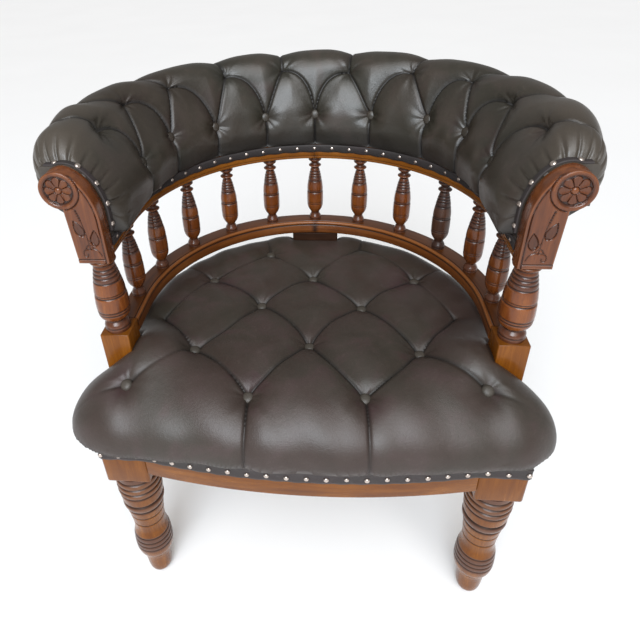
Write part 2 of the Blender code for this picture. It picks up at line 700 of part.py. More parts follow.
def seat_outline(corner_radius=0):
    # Closed outer line, anticlockwise from the middle of the front.
    right = seat_half_outline(corner_radius)
    left = [Vector((-point.x, point.y)) for point in reversed(right[1:-1])]
    return right + left


def offset_outline(points, distance):
    # Outward shift of a closed anticlockwise outline with mitred corners.
    moved = []
    for i, here in enumerate(points):
        before = (here - points[i - 1]).normalized()
        after = (points[(i + 1) % len(points)] - here).normalized()
        first = Vector((before.y, -before.x))
        mitre = (first + Vector((after.y, -after.x))).normalized()
        moved.append(here + mitre * (distance / mitre.dot(first)))
    return moved


def flat_ring(points, height):
    return [Vector((point.x, point.y, height)) for point in points]


def leg_profile():
    # Rings at the top, a tapering shaft, an ankle swelling and a rounded foot, with a stub in the block.
    stub = LEG_BLOCK_WIDTH / 4
    groove = LEG_TOP_RADIUS * 0.88
    turns = [(LEG_TOP_RADIUS, 1), (LEG_TOP_RADIUS, 0.945), (groove, 0.93), (LEG_TOP_RADIUS, 0.915),
             (LEG_TOP_RADIUS, 0.80), (groove, 0.785), (LEG_TOP_RADIUS * 0.97, 0.77),
             (LEG_TOP_RADIUS * 0.95, 0.72), (LEG_WAIST_RADIUS, 0.42), (LEG_WAIST_RADIUS, 0.38),
             (LEG_ANKLE_RADIUS, 0.34), (LEG_ANKLE_RADIUS, 0.25), (LEG_ANKLE_RADIUS * 0.86, 0.23),
             (LEG_ANKLE_RADIUS * 0.80, 0.14), (LEG_FOOT_RADIUS, 0.05), (LEG_FOOT_RADIUS * 0.9, 0)]
    body = [(radius, share * LEG_TURNED_HEIGHT) for radius, share in turns]
    top = LEG_TURNED_HEIGHT + stub
    return [(0, top), (LEG_TOP_RADIUS, top)] + body + [(0, 0)]


def make_front_leg(name, side):
    bm = bmesh.new()
    half = LEG_BLOCK_WIDTH / 2
    add_box(bm, (-half, -half, LEG_TURNED_HEIGHT), (half, half, SEAT_RAIL_TOP))
    block = hide_tool(add_object(name + "_block", bm, None))
    leg = turned(name, leg_profile(), LEG_SIDES, RAIL_WOOD)
    for item in (block, leg):
        item.location = (side * LEG_X, LEG_Y, 0)
    apply_boolean(leg, block, "UNION")
    return leg


def rear_leg_centre():
    # Distance from the bow's centre that keeps the corners of the block inside the frame's facets.
    half = REAR_LEG_WIDTH / 2
    return math.sqrt((SEAT_RADIUS * math.cos(math.pi / 4 / ARC_STEPS)) ** 2 - half ** 2) - half


def make_rear_leg(name, side):
    # Square leg, upright between the rails and raked outward below them.
    outward = Vector((side * math.sin(REAR_LEG_ANGLE), math.cos(REAR_LEG_ANGLE), 0))
    along = Vector((-outward.y, outward.x, 0))
    steps = 6
    levels = [(SEAT_RAIL_TOP, REAR_LEG_WIDTH, 0)]
    for i in range(steps + 1):
        drop = i / steps
        width = REAR_LEG_WIDTH + (REAR_FOOT_WIDTH - REAR_LEG_WIDTH) * drop
        levels.append((SEAT_RAIL_BASE * (1 - drop), width, REAR_LEG_RAKE * drop ** 2))
    rings = []
    for height, width, rake in levels:
        centre = Vector((0, BOW_CENTRE_Y, height)) + outward * (rear_leg_centre() + rake)
        across = along * width / 2
        ahead = outward * width / 2
        rings.append([centre - across - ahead, centre + across - ahead,
                      centre + across + ahead, centre - across + ahead])
    return loft(name, rings, RAIL_WOOD)


def make_front_rail():
    inner = LEG_X - LEG_BLOCK_WIDTH / 2 - SEAM_GAP
    rings = []
    for i in range(-FRONT_STEPS, FRONT_STEPS + 1):
        x = inner * i / FRONT_STEPS
        front = front_line(x)
        back = front + SEAT_RAIL_THICKNESS
        rings.append([Vector((x, front, SEAT_RAIL_BASE)), Vector((x, back, SEAT_RAIL_BASE)),
                      Vector((x, back, SEAT_RAIL_TOP)), Vector((x, front, SEAT_RAIL_TOP))])
    return loft("front_seat_rail", rings, RAIL_WOOD)


def rail_ring(side, angle_of):
    # Upright cross-section of a curved seat rail, at an angle from the back that may vary with radius.
    ring = []
    step = math.pi / 2 / ARC_STEPS
    for inset, height in ((SEAT_RAIL_THICKNESS, SEAT_RAIL_BASE), (0, SEAT_RAIL_BASE),
                          (0, SEAT_RAIL_TOP), (SEAT_RAIL_THICKNESS, SEAT_RAIL_TOP)):
        angle = angle_of(SEAT_RADIUS - inset)
        facet = math.cos(step / 2) / math.cos(angle % step - step / 2)
        radius = SEAT_RADIUS * facet - inset
        across = side * radius * math.sin(angle)
        ring.append(Vector((across, BOW_CENTRE_Y + radius * math.cos(angle), height)))
    return ring


def beside_rear_leg(radius, direction):
    return REAR_LEG_ANGLE + direction * math.asin((REAR_LEG_WIDTH / 2 + SEAM_GAP) / radius)


def make_side_rail(name, side):
    # Straight from the front leg to the middle of the curve, then round to the rear leg.
    outer = LEG_X + LEG_BLOCK_WIDTH / 2
    start = LEG_Y + LEG_BLOCK_WIDTH / 2 + SEAM_GAP
    inner = outer - SEAT_RAIL_THICKNESS
    section = [(inner, SEAT_RAIL_BASE), (outer, SEAT_RAIL_BASE),
               (outer, SEAT_RAIL_TOP), (inner, SEAT_RAIL_TOP)]
    rings = [[Vector((side * x, start, z)) for x, z in section]]
    last = REAR_LEG_ANGLE + math.asin(REAR_LEG_WIDTH / 2 / (SEAT_RADIUS - SEAT_RAIL_THICKNESS))
    for i in range(ARC_STEPS + 1):
        angle = math.pi / 2 * (1 - i / ARC_STEPS)
        if angle > last + math.pi / ARC_STEPS / 8:
            rings.append(rail_ring(side, lambda radius, angle=angle: angle))
    rings.append(rail_ring(side, lambda radius: beside_rear_leg(radius, 1)))
    return loft(name, rings, RAIL_WOOD)


def make_rear_rail():
    last = REAR_LEG_ANGLE - math.asin(REAR_LEG_WIDTH / 2 / (SEAT_RADIUS - SEAT_RAIL_THICKNESS))
    rings = [rail_ring(-1, lambda radius: beside_rear_leg(radius, -1))]
    for i in range(-ARC_STEPS, ARC_STEPS + 1):
        angle = math.pi / 2 * i / ARC_STEPS
        if abs(angle) < last - math.pi / ARC_STEPS / 8:
            rings.append(rail_ring(1, lambda radius, angle=angle: angle))
    rings.append(rail_ring(1, lambda radius: beside_rear_leg(radius, -1)))
    return loft("rear_seat_rail", rings, RAIL_WOOD)


def make_corner_brace(name, side):
    # Glued block that hugs the inner corner of a front leg between the front rail and the side rail.
    leg_inner = LEG_X - LEG_BLOCK_WIDTH / 2 - SEAM_GAP
    leg_back = LEG_Y + LEG_BLOCK_WIDTH / 2 + SEAM_GAP
    rail_back = LEG_Y - LEG_BLOCK_WIDTH / 2 + SEAT_RAIL_THICKNESS + SEAM_GAP
    slope = (LEG_X + LEG_BLOCK_WIDTH / 2 - SEAT_RADIUS) / (LEG_SETBACK - LEG_BLOCK_WIDTH / 2)
    side_inner = LEG_X + LEG_BLOCK_WIDTH / 2 - SEAT_RAIL_THICKNESS - SEAM_GAP
    outline = [(leg_inner - BRACE_LENGTH, rail_back), (leg_inner, rail_back), (leg_inner, leg_back),
               (side_inner - SEAM_GAP, leg_back),
               (side_inner - BRACE_LENGTH * slope - SEAM_GAP, leg_back + BRACE_LENGTH)]
    heights = (SEAT_RAIL_BASE + SEAT_RAIL_THICKNESS / 4, SEAT_RAIL_TOP - SEAT_RAIL_THICKNESS / 4)
    rings = [[Vector((side * x, y, height)) for x, y in outline] for height in heights]
    return loft(name, rings, FRAME_WOOD)


def support_box(gap, reach):
    # Block under the middle of the lower bow, widened by a gap and carried outward by a reach.
    middle = BOW_CENTRE_Y + BOW_RADIUS
    return ((-SUPPORT_WIDTH / 2 - gap, middle - SUPPORT_DEPTH / 2 - gap, SEAT_RAIL_TOP + SEAM_GAP - gap),
            (SUPPORT_WIDTH / 2 + gap, middle + SUPPORT_DEPTH / 2 + gap + reach,
             LOWER_BOW_TOP - LOWER_BOW_THICKNESS - SEAM_GAP + gap))


def make_support_block():
    bm = bmesh.new()
    add_box(bm, *support_box(0, 0))
    return add_object("back_support_block", bm, RED_WOOD)


def make_notch_cutter():
    # Room in the upholstery for the arm posts and the back support, open to the outside.
    bm = bmesh.new()
    half = POST_BLOCK_WIDTH / 2 + SEAM_GAP
    for name, side in SIDES:
        edges = sorted((side * (POST_X - half), side * (POST_X + half + NOTCH_REACH)))
        add_box(bm, (edges[0], POST_Y - half, SEAT_RAIL_TOP), (edges[1], POST_Y + half, LOWER_BOW_TOP))
    add_box(bm, *support_box(SEAM_GAP, NOTCH_REACH))
    return hide_tool(add_object("notch_cutter", bm, None))


def make_sheet(name, low, thickness, material, cutter):
    outline = offset_outline(seat_outline(), -WEBBING_INSET)
    sheet = loft(name, [flat_ring(outline, low), flat_ring(outline, low + thickness)], material)
    apply_boolean(sheet, cutter, "DIFFERENCE")
    return sheet


def spread_evenly(points, count):
    # The same closed outline with points at equal steps from its first one.
    closed = points + points[:1]
    total = sum((following - here).length for here, following in zip(closed, closed[1:]))
    step = total / count
    spread = []
    passed = 0
    for here, following in zip(closed, closed[1:]):
        length = (following - here).length
        while len(spread) < count and len(spread) * step < passed + length:
            spread.append(here.lerp(following, (len(spread) * step - passed) / length))
        passed += length
    return spread


def seat_rim():
    # Widest line of the seat leather: full in front, fuller beside the legs and close to the frame behind.
    base = spread_evenly(seat_outline(SEAT_CORNER_RADIUS), 8 * SEAT_CELLS)
    rim = []
    for i, point in enumerate(base):
        along = (base[(i + 1) % len(base)] - base[i - 1]).normalized()
        side = ease(abs(point.x), LEG_X / 2, LEG_X)
        bulge = SEAT_BULGE_FRONT + (SEAT_BULGE_SIDE - SEAT_BULGE_FRONT) * side
        bulge += (SEAT_BULGE_BACK - bulge) * ease(point.y, POST_Y - SEAT_WING_LENGTH, POST_Y)
        rim.append(point + Vector((along.y, -along.x)) * bulge)
    return rim


def outline_gap(point, outline):
    # Distance from a point to a closed outline.
    gaps = []
    for here, following in zip(outline, outline[1:] + outline[:1]):
        share = intersect_point_line(point, here, following)[1]
        gaps.append((point - here.lerp(following, min(1, max(0, share)))).length)
    return min(gaps)


def seat_folds(buttons):
    # Folds from each button to those of the next rows, and from the middle of the front row over the edge.
    deep = (SEAT_TUFT_DEPTH, SEAT_FOLD_DEPTH, SEAT_TUFT_DEPTH)
    folds = [(button, other, deep) for i, button in enumerate(buttons) for other in buttons[:i]
             if (button - other).length < SEAT_FOLD_SPAN]
    for button in buttons:
        if button.y < LEG_Y and abs(button.x) < LEG_X / 2:
            edge = Vector((button.x, front_line(button.x)))
            folds.append((button, edge, (SEAT_TUFT_DEPTH, SEAT_FOLD_DEPTH, 0)))
    return folds


def seat_height(point, gap):
    # Height of the seat's full form above its base, at a place that lies a gap inside the widest line.
    front = 1 - ease(point.y, LEG_Y, BOW_CENTRE_Y)
    shoulder = SEAT_SHOULDER_BACK + (SEAT_SHOULDER_FRONT - SEAT_SHOULDER_BACK) * front
    lift = math.sqrt(1 - (1 - min(1, gap / shoulder)) ** SHOULDER_POWER)
    half = LEG_X + LEG_BLOCK_WIDTH / 2
    crown = SEAT_PAD_HEIGHT - SEAT_SIDE_FALL * min(1, (point.x / half) ** 2)
    crown -= SEAT_FRONT_FALL * ease(POST_Y - point.y, 0, POST_Y - front_line(0))
    crown -= SEAT_BACK_FALL * ease(point.y, BOW_CENTRE_Y + BOW_RADIUS / 2, BOW_CENTRE_Y + BOW_RADIUS)
    mound = Vector((POST_X - POST_MOUND_INSET, POST_Y - POST_BLOCK_WIDTH / 2))
    away = (Vector((abs(point.x), point.y)) - mound).length
    crown += POST_MOUND * math.exp(-(away / POST_MOUND_SPREAD) ** 2)
    return SEAT_WIDE_HEIGHT + (crown - SEAT_WIDE_HEIGHT) * lift


def square_walk(i, j):
    # Ring of a cell corner about the middle, and its share of the way round from the middle of the front.
    ring = max(abs(i), abs(j))
    if ring == 0:
        return 0, 0
    if j == -ring:
        along = i if i >= 0 else 8 * ring + i
    elif i == ring:
        along = 2 * ring + j
    elif j == ring:
        along = 4 * ring - i
    else:
        along = 6 * ring - j
    return ring, along / (8 * ring)


def outline_point(outline, share):
    place = share * len(outline)
    number = int(place)
    return outline[number % len(outline)].lerp(outline[(number + 1) % len(outline)], place - number)


def seat_places(rim, foot, buttons):
    # Cell corners spread from the middle to the widest line, the last ring turned under to the frame,
    # and the corner nearest to each button moved on to it.
    middle = Vector((0, (front_line(0) + BOW_CENTRE_Y + SEAT_RADIUS) / 2))
    cells = range(-SEAT_CELLS, SEAT_CELLS + 1)
    places = {}
    for i in cells:
        for j in cells:
            ring, share = square_walk(i, j)
            if ring == SEAT_CELLS:
                places[i, j] = outline_point(foot, share)
            else:
                places[i, j] = middle.lerp(outline_point(rim, share), ring / (SEAT_CELLS - 1))
    inside = [key for key in places if square_walk(*key)[0] < SEAT_CELLS - 1]
    for button in buttons:
        nearest = min(inside, key=lambda key: (places[key] - button).length)
        places[nearest] = button
    return places


def make_seat_cushion(cutter):
    # Buttoned pad on the hessian, crowned, widest a third of the way up and turned under to the frame.
    rim = seat_rim()
    foot = spread_evenly(seat_outline(SEAT_FOOT_RADIUS), len(rim))
    buttons = [Vector((across * LEG_X, BOW_CENTRE_Y + along * SEAT_RADIUS))
               for across, along in SEAT_BUTTONS]
    folds = seat_folds(buttons)
    bm = bmesh.new()
    corners = {}
    for (i, j), place in seat_places(rim, foot, buttons).items():
        height = PAD_BASE
        if square_walk(i, j)[0] < SEAT_CELLS:
            height += seat_height(place, outline_gap(place, rim)) - fold_depth(place, folds, SEAT_FOLD_REACH)
        corners[i, j] = bm.verts.new((*place, height))
    cells = range(-SEAT_CELLS, SEAT_CELLS)
    for i in cells:
        for j in cells:
            bm.faces.new([corners[key] for key in ((i, j), (i + 1, j), (i + 1, j + 1), (i, j + 1))])
    under = [key for key in corners if square_walk(*key)[0] == SEAT_CELLS]
    bm.faces.new([corners[key] for key in sorted(under, key=lambda key: -square_walk(*key)[1])])
    pad = add_object("seat_cushion", bm, SEAT_LEATHER)
    apply_boolean(pad, cutter, "DIFFERENCE")
    return pad


def make_seat_band():
    # Nailing strip round the outside of the seat frame.
    inner = offset_outline(seat_outline(), SEAM_GAP)
    outer = offset_outline(seat_outline(), SEAM_GAP + BAND_THICKNESS)
    low = SEAT_RAIL_TOP - SEAT_BAND_HEIGHT
    rings = []
    for near, far in zip(inner, outer):
        rings.append([Vector((*near, low)), Vector((*far, low)),
                      Vector((*far, SEAT_RAIL_TOP)), Vector((*near, SEAT_RAIL_TOP))])
    return loft("seat_nailing_band", rings, BAND_LEATHER, closed=True)


def build_chair():
    socket_cutter = make_socket_cutter()
    dowel_cutter = make_dowel_cutter()
    notch_cutter = make_notch_cutter()
    for name, side in SIDES:
        make_front_leg("front_leg_" + name, side)
        make_rear_leg("rear_leg_" + name, side)
        make_side_rail("side_seat_rail_" + name, side)
        make_corner_brace("corner_brace_" + name, side)
        make_arm_post("arm_post_" + name, side, dowel_cutter)
        make_facing("arm_facing_" + name, side)
        make_dowel("bow_dowel_" + name, side)
        make_bow("lower_bow_" + name, side, LOWER_BOW_TOP, LOWER_BOW_THICKNESS, LOWER_END_RUN,
                 (socket_cutter, dowel_cutter))
        make_bow("upper_bow_" + name, side, UPPER_BOW_TOP, UPPER_BOW_THICKNESS, UPPER_END_RUN,
                 (socket_cutter,))
    make_front_rail()
    make_rear_rail()
    make_support_block()
    make_spindles()
    make_crest_rail()
    make_uprights()
    make_outside_cover()
    make_back_cushion()
    make_back_band()
    webbing_base = SEAT_RAIL_TOP + SEAM_GAP
    make_sheet("seat_webbing", webbing_base, WEBBING_THICKNESS, WEBBING, notch_cutter)
    hessian_base = webbing_base + WEBBING_THICKNESS + SEAM_GAP
    make_sheet("seat_hessian", hessian_base, HESSIAN_THICKNESS, HESSIAN, notch_cutter)
    make_seat_cushion(notch_cutter)
    make_seat_band()


build_chair()
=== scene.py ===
import math

import bpy
import numpy as np
from mathutils import Matrix, Vector


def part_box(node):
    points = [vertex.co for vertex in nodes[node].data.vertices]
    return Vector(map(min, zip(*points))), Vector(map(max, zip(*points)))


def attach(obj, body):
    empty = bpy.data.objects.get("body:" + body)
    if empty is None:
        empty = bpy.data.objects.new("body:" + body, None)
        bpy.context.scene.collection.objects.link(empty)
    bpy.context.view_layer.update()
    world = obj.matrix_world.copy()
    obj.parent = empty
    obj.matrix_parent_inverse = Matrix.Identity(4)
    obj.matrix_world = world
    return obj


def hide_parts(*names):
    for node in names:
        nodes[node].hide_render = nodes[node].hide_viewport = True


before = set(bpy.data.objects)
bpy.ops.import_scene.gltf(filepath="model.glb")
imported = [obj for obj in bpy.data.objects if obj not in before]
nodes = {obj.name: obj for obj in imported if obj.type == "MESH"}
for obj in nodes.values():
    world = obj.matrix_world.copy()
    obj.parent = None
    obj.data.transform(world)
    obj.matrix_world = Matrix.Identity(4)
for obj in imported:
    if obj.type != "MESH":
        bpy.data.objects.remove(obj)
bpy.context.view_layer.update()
bpy.ops.object.select_all(action="DESELECT")
print("frame loaded with", len(nodes), "nodes")

# measures that the CAD solids hold, in metres
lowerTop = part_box("lower_bow_left")[1].z
upperBase, upperTop = (corner.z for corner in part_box("upper_bow_left"))
railBase, railTop = (corner.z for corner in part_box("front_seat_rail"))
facingFront, facingBack = (corner.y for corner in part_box("arm_facing_left"))
bowRadius, bowCentre, bowHalf = 0.2575, -0.0675, 0.016
postX, postY, postHalf = 0.263, -0.1365, 0.02
legX, legY, legHalf, legTurned = 0.264, -0.1865, 0.033, 0.269
legInner, legOuter = legX - legHalf, legX + legHalf
legFront, legBack = legY - legHalf, legY + legHalf
rearLegAngle, rearLegHalf = math.radians(45), 0.022
seatRadius, frontBow, railThick, facingX = 0.287, 0.022, 0.038, 0.26
clear = 0.0003  # keeps neighbours apart
quarter = bowRadius * math.pi / 2
armEnd = quarter + bowCentre - facingBack - clear
sides = (("left", -1), ("right", 1))


# shader sockets written as expressions
class Wire:
    def __init__(self, tree, socket=None):
        self.tree = tree
        self.socket = socket

    def node(self, kind, inputs=None, output=0, **settings):
        made = self.tree.nodes.new("ShaderNode" + kind)
        for key, value in settings.items():
            setattr(made, key, value)
        for key, value in (inputs or {}).items():
            if isinstance(value, Wire):
                self.tree.links.new(value.socket, made.inputs[key])
            else:
                made.inputs[key].default_value = value
        return Wire(self.tree, made.outputs[output] if len(made.outputs) else None)

    def maths(self, operation, other):
        return self.node("Math", {0: self, 1: other}, operation=operation)

    def __add__(self, other):
        return self.maths("ADD", other)

    def __sub__(self, other):
        return self.maths("SUBTRACT", other)

    def __mul__(self, other):
        return self.maths("MULTIPLY", other)

    __radd__ = __add__

    def held(self):
        return self.node("Clamp", {"Value": self})

    def ranged(self, low, high, newLow=0.0, newHigh=1.0):
        limits = {"From Min": low, "From Max": high, "To Min": newLow, "To Max": newHigh}
        return self.node("MapRange", {"Value": self, **limits}, interpolation_type="SMOOTHSTEP")

    def tint(self, *colours):
        # a colour between two, by this value
        first, second = (c if isinstance(c, Wire) else (*c, 1) for c in colours)
        return self.node("Mix", {0: self, 6: first, 7: second}, 2, data_type="RGBA")

    def ramp(self, *stops):
        made = self.node("ValToRGB", {"Fac": self})
        elements = made.socket.node.color_ramp.elements
        elements.new(0.5)
        for element, (place, colour) in zip(elements, stops):
            element.position = place
            element.color = (*colour, 1)
        return made

    def noise(self, scale, detail=3.0, rough=0.5, distortion=0.0):
        return self.node("TexNoise", {"Vector": self, "Scale": scale, "Detail": detail, "Roughness": rough,
                                      "Distortion": distortion})

    def mapped(self, **inputs):
        return self.node("Mapping", {"Vector": self, **inputs})

    def bump(self, strength, distance):
        return self.node("Bump", {"Strength": strength, "Distance": distance, "Height": self})

    def stored(self, name, output="Fac"):
        # a value kept on the mesh
        return self.node("Attribute", None, output, attribute_name=name)

    def surface(self, inputs):
        self.node("OutputMaterial", {"Surface": self.node("BsdfPrincipled", inputs)})


def newMaterial(name, stored=None):
    # an empty material and the coordinates that its pattern follows
    material = bpy.data.materials.new(name)
    material.use_nodes = True
    material.node_tree.nodes.clear()
    start = Wire(material.node_tree)
    if stored:
        return material, start.stored(stored, "Vector")
    return material, start.node("TexCoord", output="Object")


# wood: straight fibres along the piece, dark wax with painted shade in the cuts and hollows, worn crests, and
# painted light on the upper bow's front face
woods = {
    "redWalnut": {
        "dark": (0.034, 0.008, 0.002), "mid": (0.138, 0.035, 0.006), "light": (0.262, 0.083, 0.017),
        "wax": (0.012, 0.004, 0.003), "stain": (0.04, 0.022, 0.019),
        "gloss": 0.17, "coat": 0.24, "shine": 0.36},
    "goldWalnut": {
        "dark": (0.085, 0.022, 0.003), "mid": (0.162, 0.049, 0.004), "light": (0.28, 0.098, 0.011),
        "wax": (0.02, 0.008, 0.003), "stain": (0.074, 0.044, 0.039),
        "gloss": 0.18, "coat": 0.2, "shine": 0.18},
    "railWalnut": {
        "dark": (0.045, 0.012, 0.003), "mid": (0.135, 0.039, 0.007), "light": (0.235, 0.082, 0.019),
        "wax": (0.012, 0.005, 0.003), "stain": (0.04, 0.016, 0.01),
        "gloss": 0.26, "coat": 0.16, "shine": 0.24},
    "darkWalnut": {
        "dark": (0.01, 0.005, 0.003), "mid": (0.024, 0.01, 0.005), "light": (0.05, 0.021, 0.011),
        "wax": (0.007, 0.004, 0.003), "stain": (0.01, 0.005, 0.003),
        "gloss": 0.42, "coat": 0.0, "shine": 0.08},
    "smokedWalnut": {
        "dark": (0.02, 0.009, 0.006), "mid": (0.066, 0.027, 0.015), "light": (0.135, 0.062, 0.036),
        "wax": (0.01, 0.005, 0.004), "stain": (0.022, 0.011, 0.01),
        "gloss": 0.3, "coat": 0.12, "shine": 0.34},
    "plainBeech": {
        "dark": (0.21, 0.115, 0.052), "mid": (0.33, 0.2, 0.1), "light": (0.43, 0.285, 0.16),
        "wax": (0.1, 0.055, 0.028), "stain": (0.15, 0.085, 0.04),
        "gloss": 0.55, "coat": 0.0, "shine": 0.35},
}


def woodMaterial(name, look):
    if name == "plainBeech":
        # solids from the CAD have no values stored on them
        material, place = newMaterial(name)
        grain = place.mapped(Rotation=(0, math.pi / 2, 0))
        groove = stain = place.noise(30.0) * 0.1
    else:
        material, grain = newMaterial(name, "grain")
        groove, stain = grain.stored("groove"), grain.stored("stain")
    fine = grain.mapped(Scale=(38, 900, 900))
    cloud = grain.noise(16.0, 2.0)
    figure = grain.mapped(Scale=(7, 85, 85)).noise(1.0, 4.0, 0.6, 0.8)
    fibre = fine.noise(1.0, 2.0, 0.6)
    pores = fine.noise(1.7, 1.0).ranged(0.62, 0.74)
    tone = (figure * 0.62 + fibre * 0.22 + cloud * 0.34 - 0.1).held()
    colour = tone.ramp((0.22, look["dark"]), (0.5, look["mid"]), (0.8, look["light"]))
    colour = (pores * 0.45).tint(colour, look["dark"])
    # lighter where the stored value is below zero: wear on crests and edges, and painted light on the upper
    # bow's front face
    wornAndLit = (groove * -1.0).ranged(0.0, 1.0) * (0.25 + figure * 0.5)
    colour = wornAndLit.held().tint(colour, [min(1, c * 1.35 + 0.01) for c in look["light"]])
    colour = (stain * (0.45 + cloud * 0.9)).held().tint(colour, look["stain"])
    # painted shade with dark wax: darker in the cuts and hollows
    shadedCuts = groove.ranged(0.0, 1.0) * (0.55 + cloud * 0.6).held()
    colour = shadedCuts.held().tint(colour, look["wax"])
    rough = (look["gloss"] + fibre * 0.14 + cloud * 0.1 + shadedCuts * 0.2 - 0.06).held()
    bump = (fibre * 0.5 - pores * 0.7).bump(0.16, 0.0004)
    grain.surface({"Base Color": colour, "Roughness": rough, "Normal": bump, "Coat Weight": look["coat"],
                   "Coat Roughness": 0.14, "Specular IOR Level": look["shine"]})
    return material


# leather: pebbled grain, cloudy brown and olive tones, rubbed mounds, painted top light on the arms' tops and
# painted shade in the folds
# fold: the colour of painted shade in folds and tucks, also the dark of the grain's pits
leathers = {
    "seatLeather": {
        "brown": (0.043, 0.026, 0.021), "olive": (0.034, 0.028, 0.02), "plum": (0.046, 0.023, 0.023),
        "fold": (0.006, 0.005, 0.004), "rub": (0.076, 0.057, 0.048),
        "gloss": 0.34, "shine": 0.4, "coat": 0.08, "grainSize": 760.0},
    "backLeather": {
        "brown": (0.025, 0.017, 0.01), "olive": (0.019, 0.017, 0.01), "plum": (0.026, 0.014, 0.01),
        "fold": (0.004, 0.003, 0.003), "rub": (0.068, 0.054, 0.04),
        "gloss": 0.3, "shine": 0.53, "coat": 0.14, "grainSize": 760.0},
    "bandLeather": {
        "brown": (0.056, 0.043, 0.042), "olive": (0.048, 0.04, 0.037), "plum": (0.06, 0.042, 0.042),
        "fold": (0.01, 0.008, 0.008), "rub": (0.15, 0.128, 0.12),
        "gloss": 0.48, "shine": 0.36, "coat": 0.04, "grainSize": 900.0},
    "buttonLeather": {
        "brown": (0.052, 0.042, 0.033), "olive": (0.046, 0.041, 0.031), "plum": (0.052, 0.039, 0.032),
        "fold": (0.008, 0.006, 0.005), "rub": (0.09, 0.076, 0.061),
        "gloss": 0.38, "shine": 0.4, "coat": 0.08, "grainSize": 760.0},
}


def leatherMaterial(name, look):
    material, place = newMaterial(name)
    crease, mound = place.stored("crease"), place.stored("mound")
    cloud = place.noise(7.0, 3.0, 0.55, 0.4)
    patch = place.noise(19.0, 4.0, 0.6, 0.6)
    scuff = place.noise(95.0, 4.0, 0.65, 1.2)
    ripple = place.noise(210.0, 3.0, 0.6, 1.5)
    size = look["grainSize"]
    pebble = place.node("TexVoronoi", {"Vector": place, "Scale": size}, feature="F1")
    coarse = place.node("TexVoronoi", {"Vector": place, "Scale": size * 0.32}, feature="SMOOTH_F1")
    colour = cloud.ranged(0.35, 0.65).tint(look["brown"], look["olive"])
    colour = patch.ranged(0.48, 0.72).tint(colour, look["plum"])
    rubbed = mound.ranged(0.35, 1.0) * 0.46 + scuff.ranged(0.5, 0.76) * 0.36
    rubbed = rubbed * patch.ranged(0.3, 0.7, 0.25, 1.0)
    colour = rubbed.held().tint(colour, look["rub"])
    # painted top light: values over one, stored on the arms' tops only, lighten them to the rub colour
    colour = (mound.ranged(1.0, 2.0) * (0.45 + cloud * 0.9)).held().tint(colour, look["rub"])
    colour = (pebble.ranged(0.0, 0.6) * 0.22).tint(colour, look["fold"])
    # painted shade: darker towards the fold colour in folds, tucks, band edges and the roll's foot
    colour = crease.held().tint(colour, look["fold"])
    rough = (look["gloss"] + patch * 0.12 + pebble * 0.06 + crease * 0.2 - rubbed * 0.04).held()
    height = pebble * -0.55 + coarse * -0.5 + ripple * 0.9 + scuff * 0.6
    place.surface({"Base Color": colour, "Roughness": rough, "Normal": height.bump(0.24, 0.0007), "IOR": 1.5,
                   "Specular IOR Level": look["shine"], "Coat Weight": look["coat"], "Coat Roughness": 0.32})
    return material


metals = {"nailMetal": {"bright": (0.64, 0.55, 0.49), "dull": (0.15, 0.11, 0.09), "gloss": 0.22}}


def nailMaterial(name, look):
    material, place = newMaterial(name)
    shade = (place.stored("groove") + place.noise(130.0).ranged(0.55, 0.8) * 0.4).held()
    rough = (look["gloss"] + place.noise(900.0, 2.0) * 0.12 + shade * 0.2).held()
    colour = shade.tint(look["bright"], look["dull"])
    place.surface({"Base Color": colour, "Roughness": rough, "Metallic": 1.0})
    return material


cloths = {"juteWebbing": {"dark": (0.16, 0.11, 0.06), "light": (0.4, 0.3, 0.18), "threads": 160.0},
          "hessian": {"dark": (0.2, 0.14, 0.08), "light": (0.45, 0.35, 0.22), "threads": 220.0}}


def clothMaterial(name, look):
    # plain weave from two crossed sets of threads
    material, place = newMaterial(name)
    thread = {"Vector": place, "Scale": look["threads"], "Distortion": 0.6, "Detail": 1.0}
    warp, weft = (place.node("TexWave", thread, bands_direction=way) for way in "XY")
    fuzz = place.noise(240.0, 4.0, 0.7)
    weave = (warp * 0.5 + weft * 0.5 + fuzz * 0.4 - 0.2).held()
    colour = weave.tint(look["dark"], look["light"])
    rough = (0.85 + fuzz * 0.1).held()
    place.surface({"Base Color": colour, "Roughness": rough, "Normal": weave.bump(0.5, 0.0006), "IOR": 1.4})
    return material


makers = ((woodMaterial, woods), (leatherMaterial, leathers), (nailMaterial, metals), (clothMaterial, cloths))
finish = {name: make(name, look) for make, looks in makers for name, look in looks.items()}
print("finishes mixed")


# small helpers
def store(piece, **layers):
    # values kept on the mesh for its material
    for key, values in layers.items():
        values = np.asarray(values, np.float32)
        kind, part = ("FLOAT_VECTOR", "vector") if values.ndim == 2 else ("FLOAT", "value")
        layer = piece.data.attributes.get(key) or piece.data.attributes.new(key, kind, "POINT")
        layer.data.foreach_set(part, values.ravel())


def meshPoints(piece):
    points = np.zeros(len(piece.data.vertices) * 3, np.float32)
    piece.data.vertices.foreach_get("co", points)
    return points.reshape(-1, 3).astype(float)


def setPoints(piece, points):
    piece.data.vertices.foreach_set("co", np.asarray(points, np.float32).ravel())
    piece.data.update()


def named(name):
    piece = bpy.context.object
    piece.name = name
    piece.data.name = name
    return piece


def pick(*pieces):
    bpy.ops.object.select_all(action="DESELECT")
    for piece in pieces:
        piece.select_set(True)
    bpy.context.view_layer.objects.active = pieces[0]


def editMesh(piece, **tools):
    # mesh tools by name, each on the whole mesh
    pick(piece)
    bpy.ops.object.mode_set(mode="EDIT")
    for tool, settings in tools.items():
        bpy.ops.mesh.select_all(action="SELECT")
        getattr(bpy.ops.mesh, tool)(**settings)
    bpy.ops.object.mode_set(mode="OBJECT")


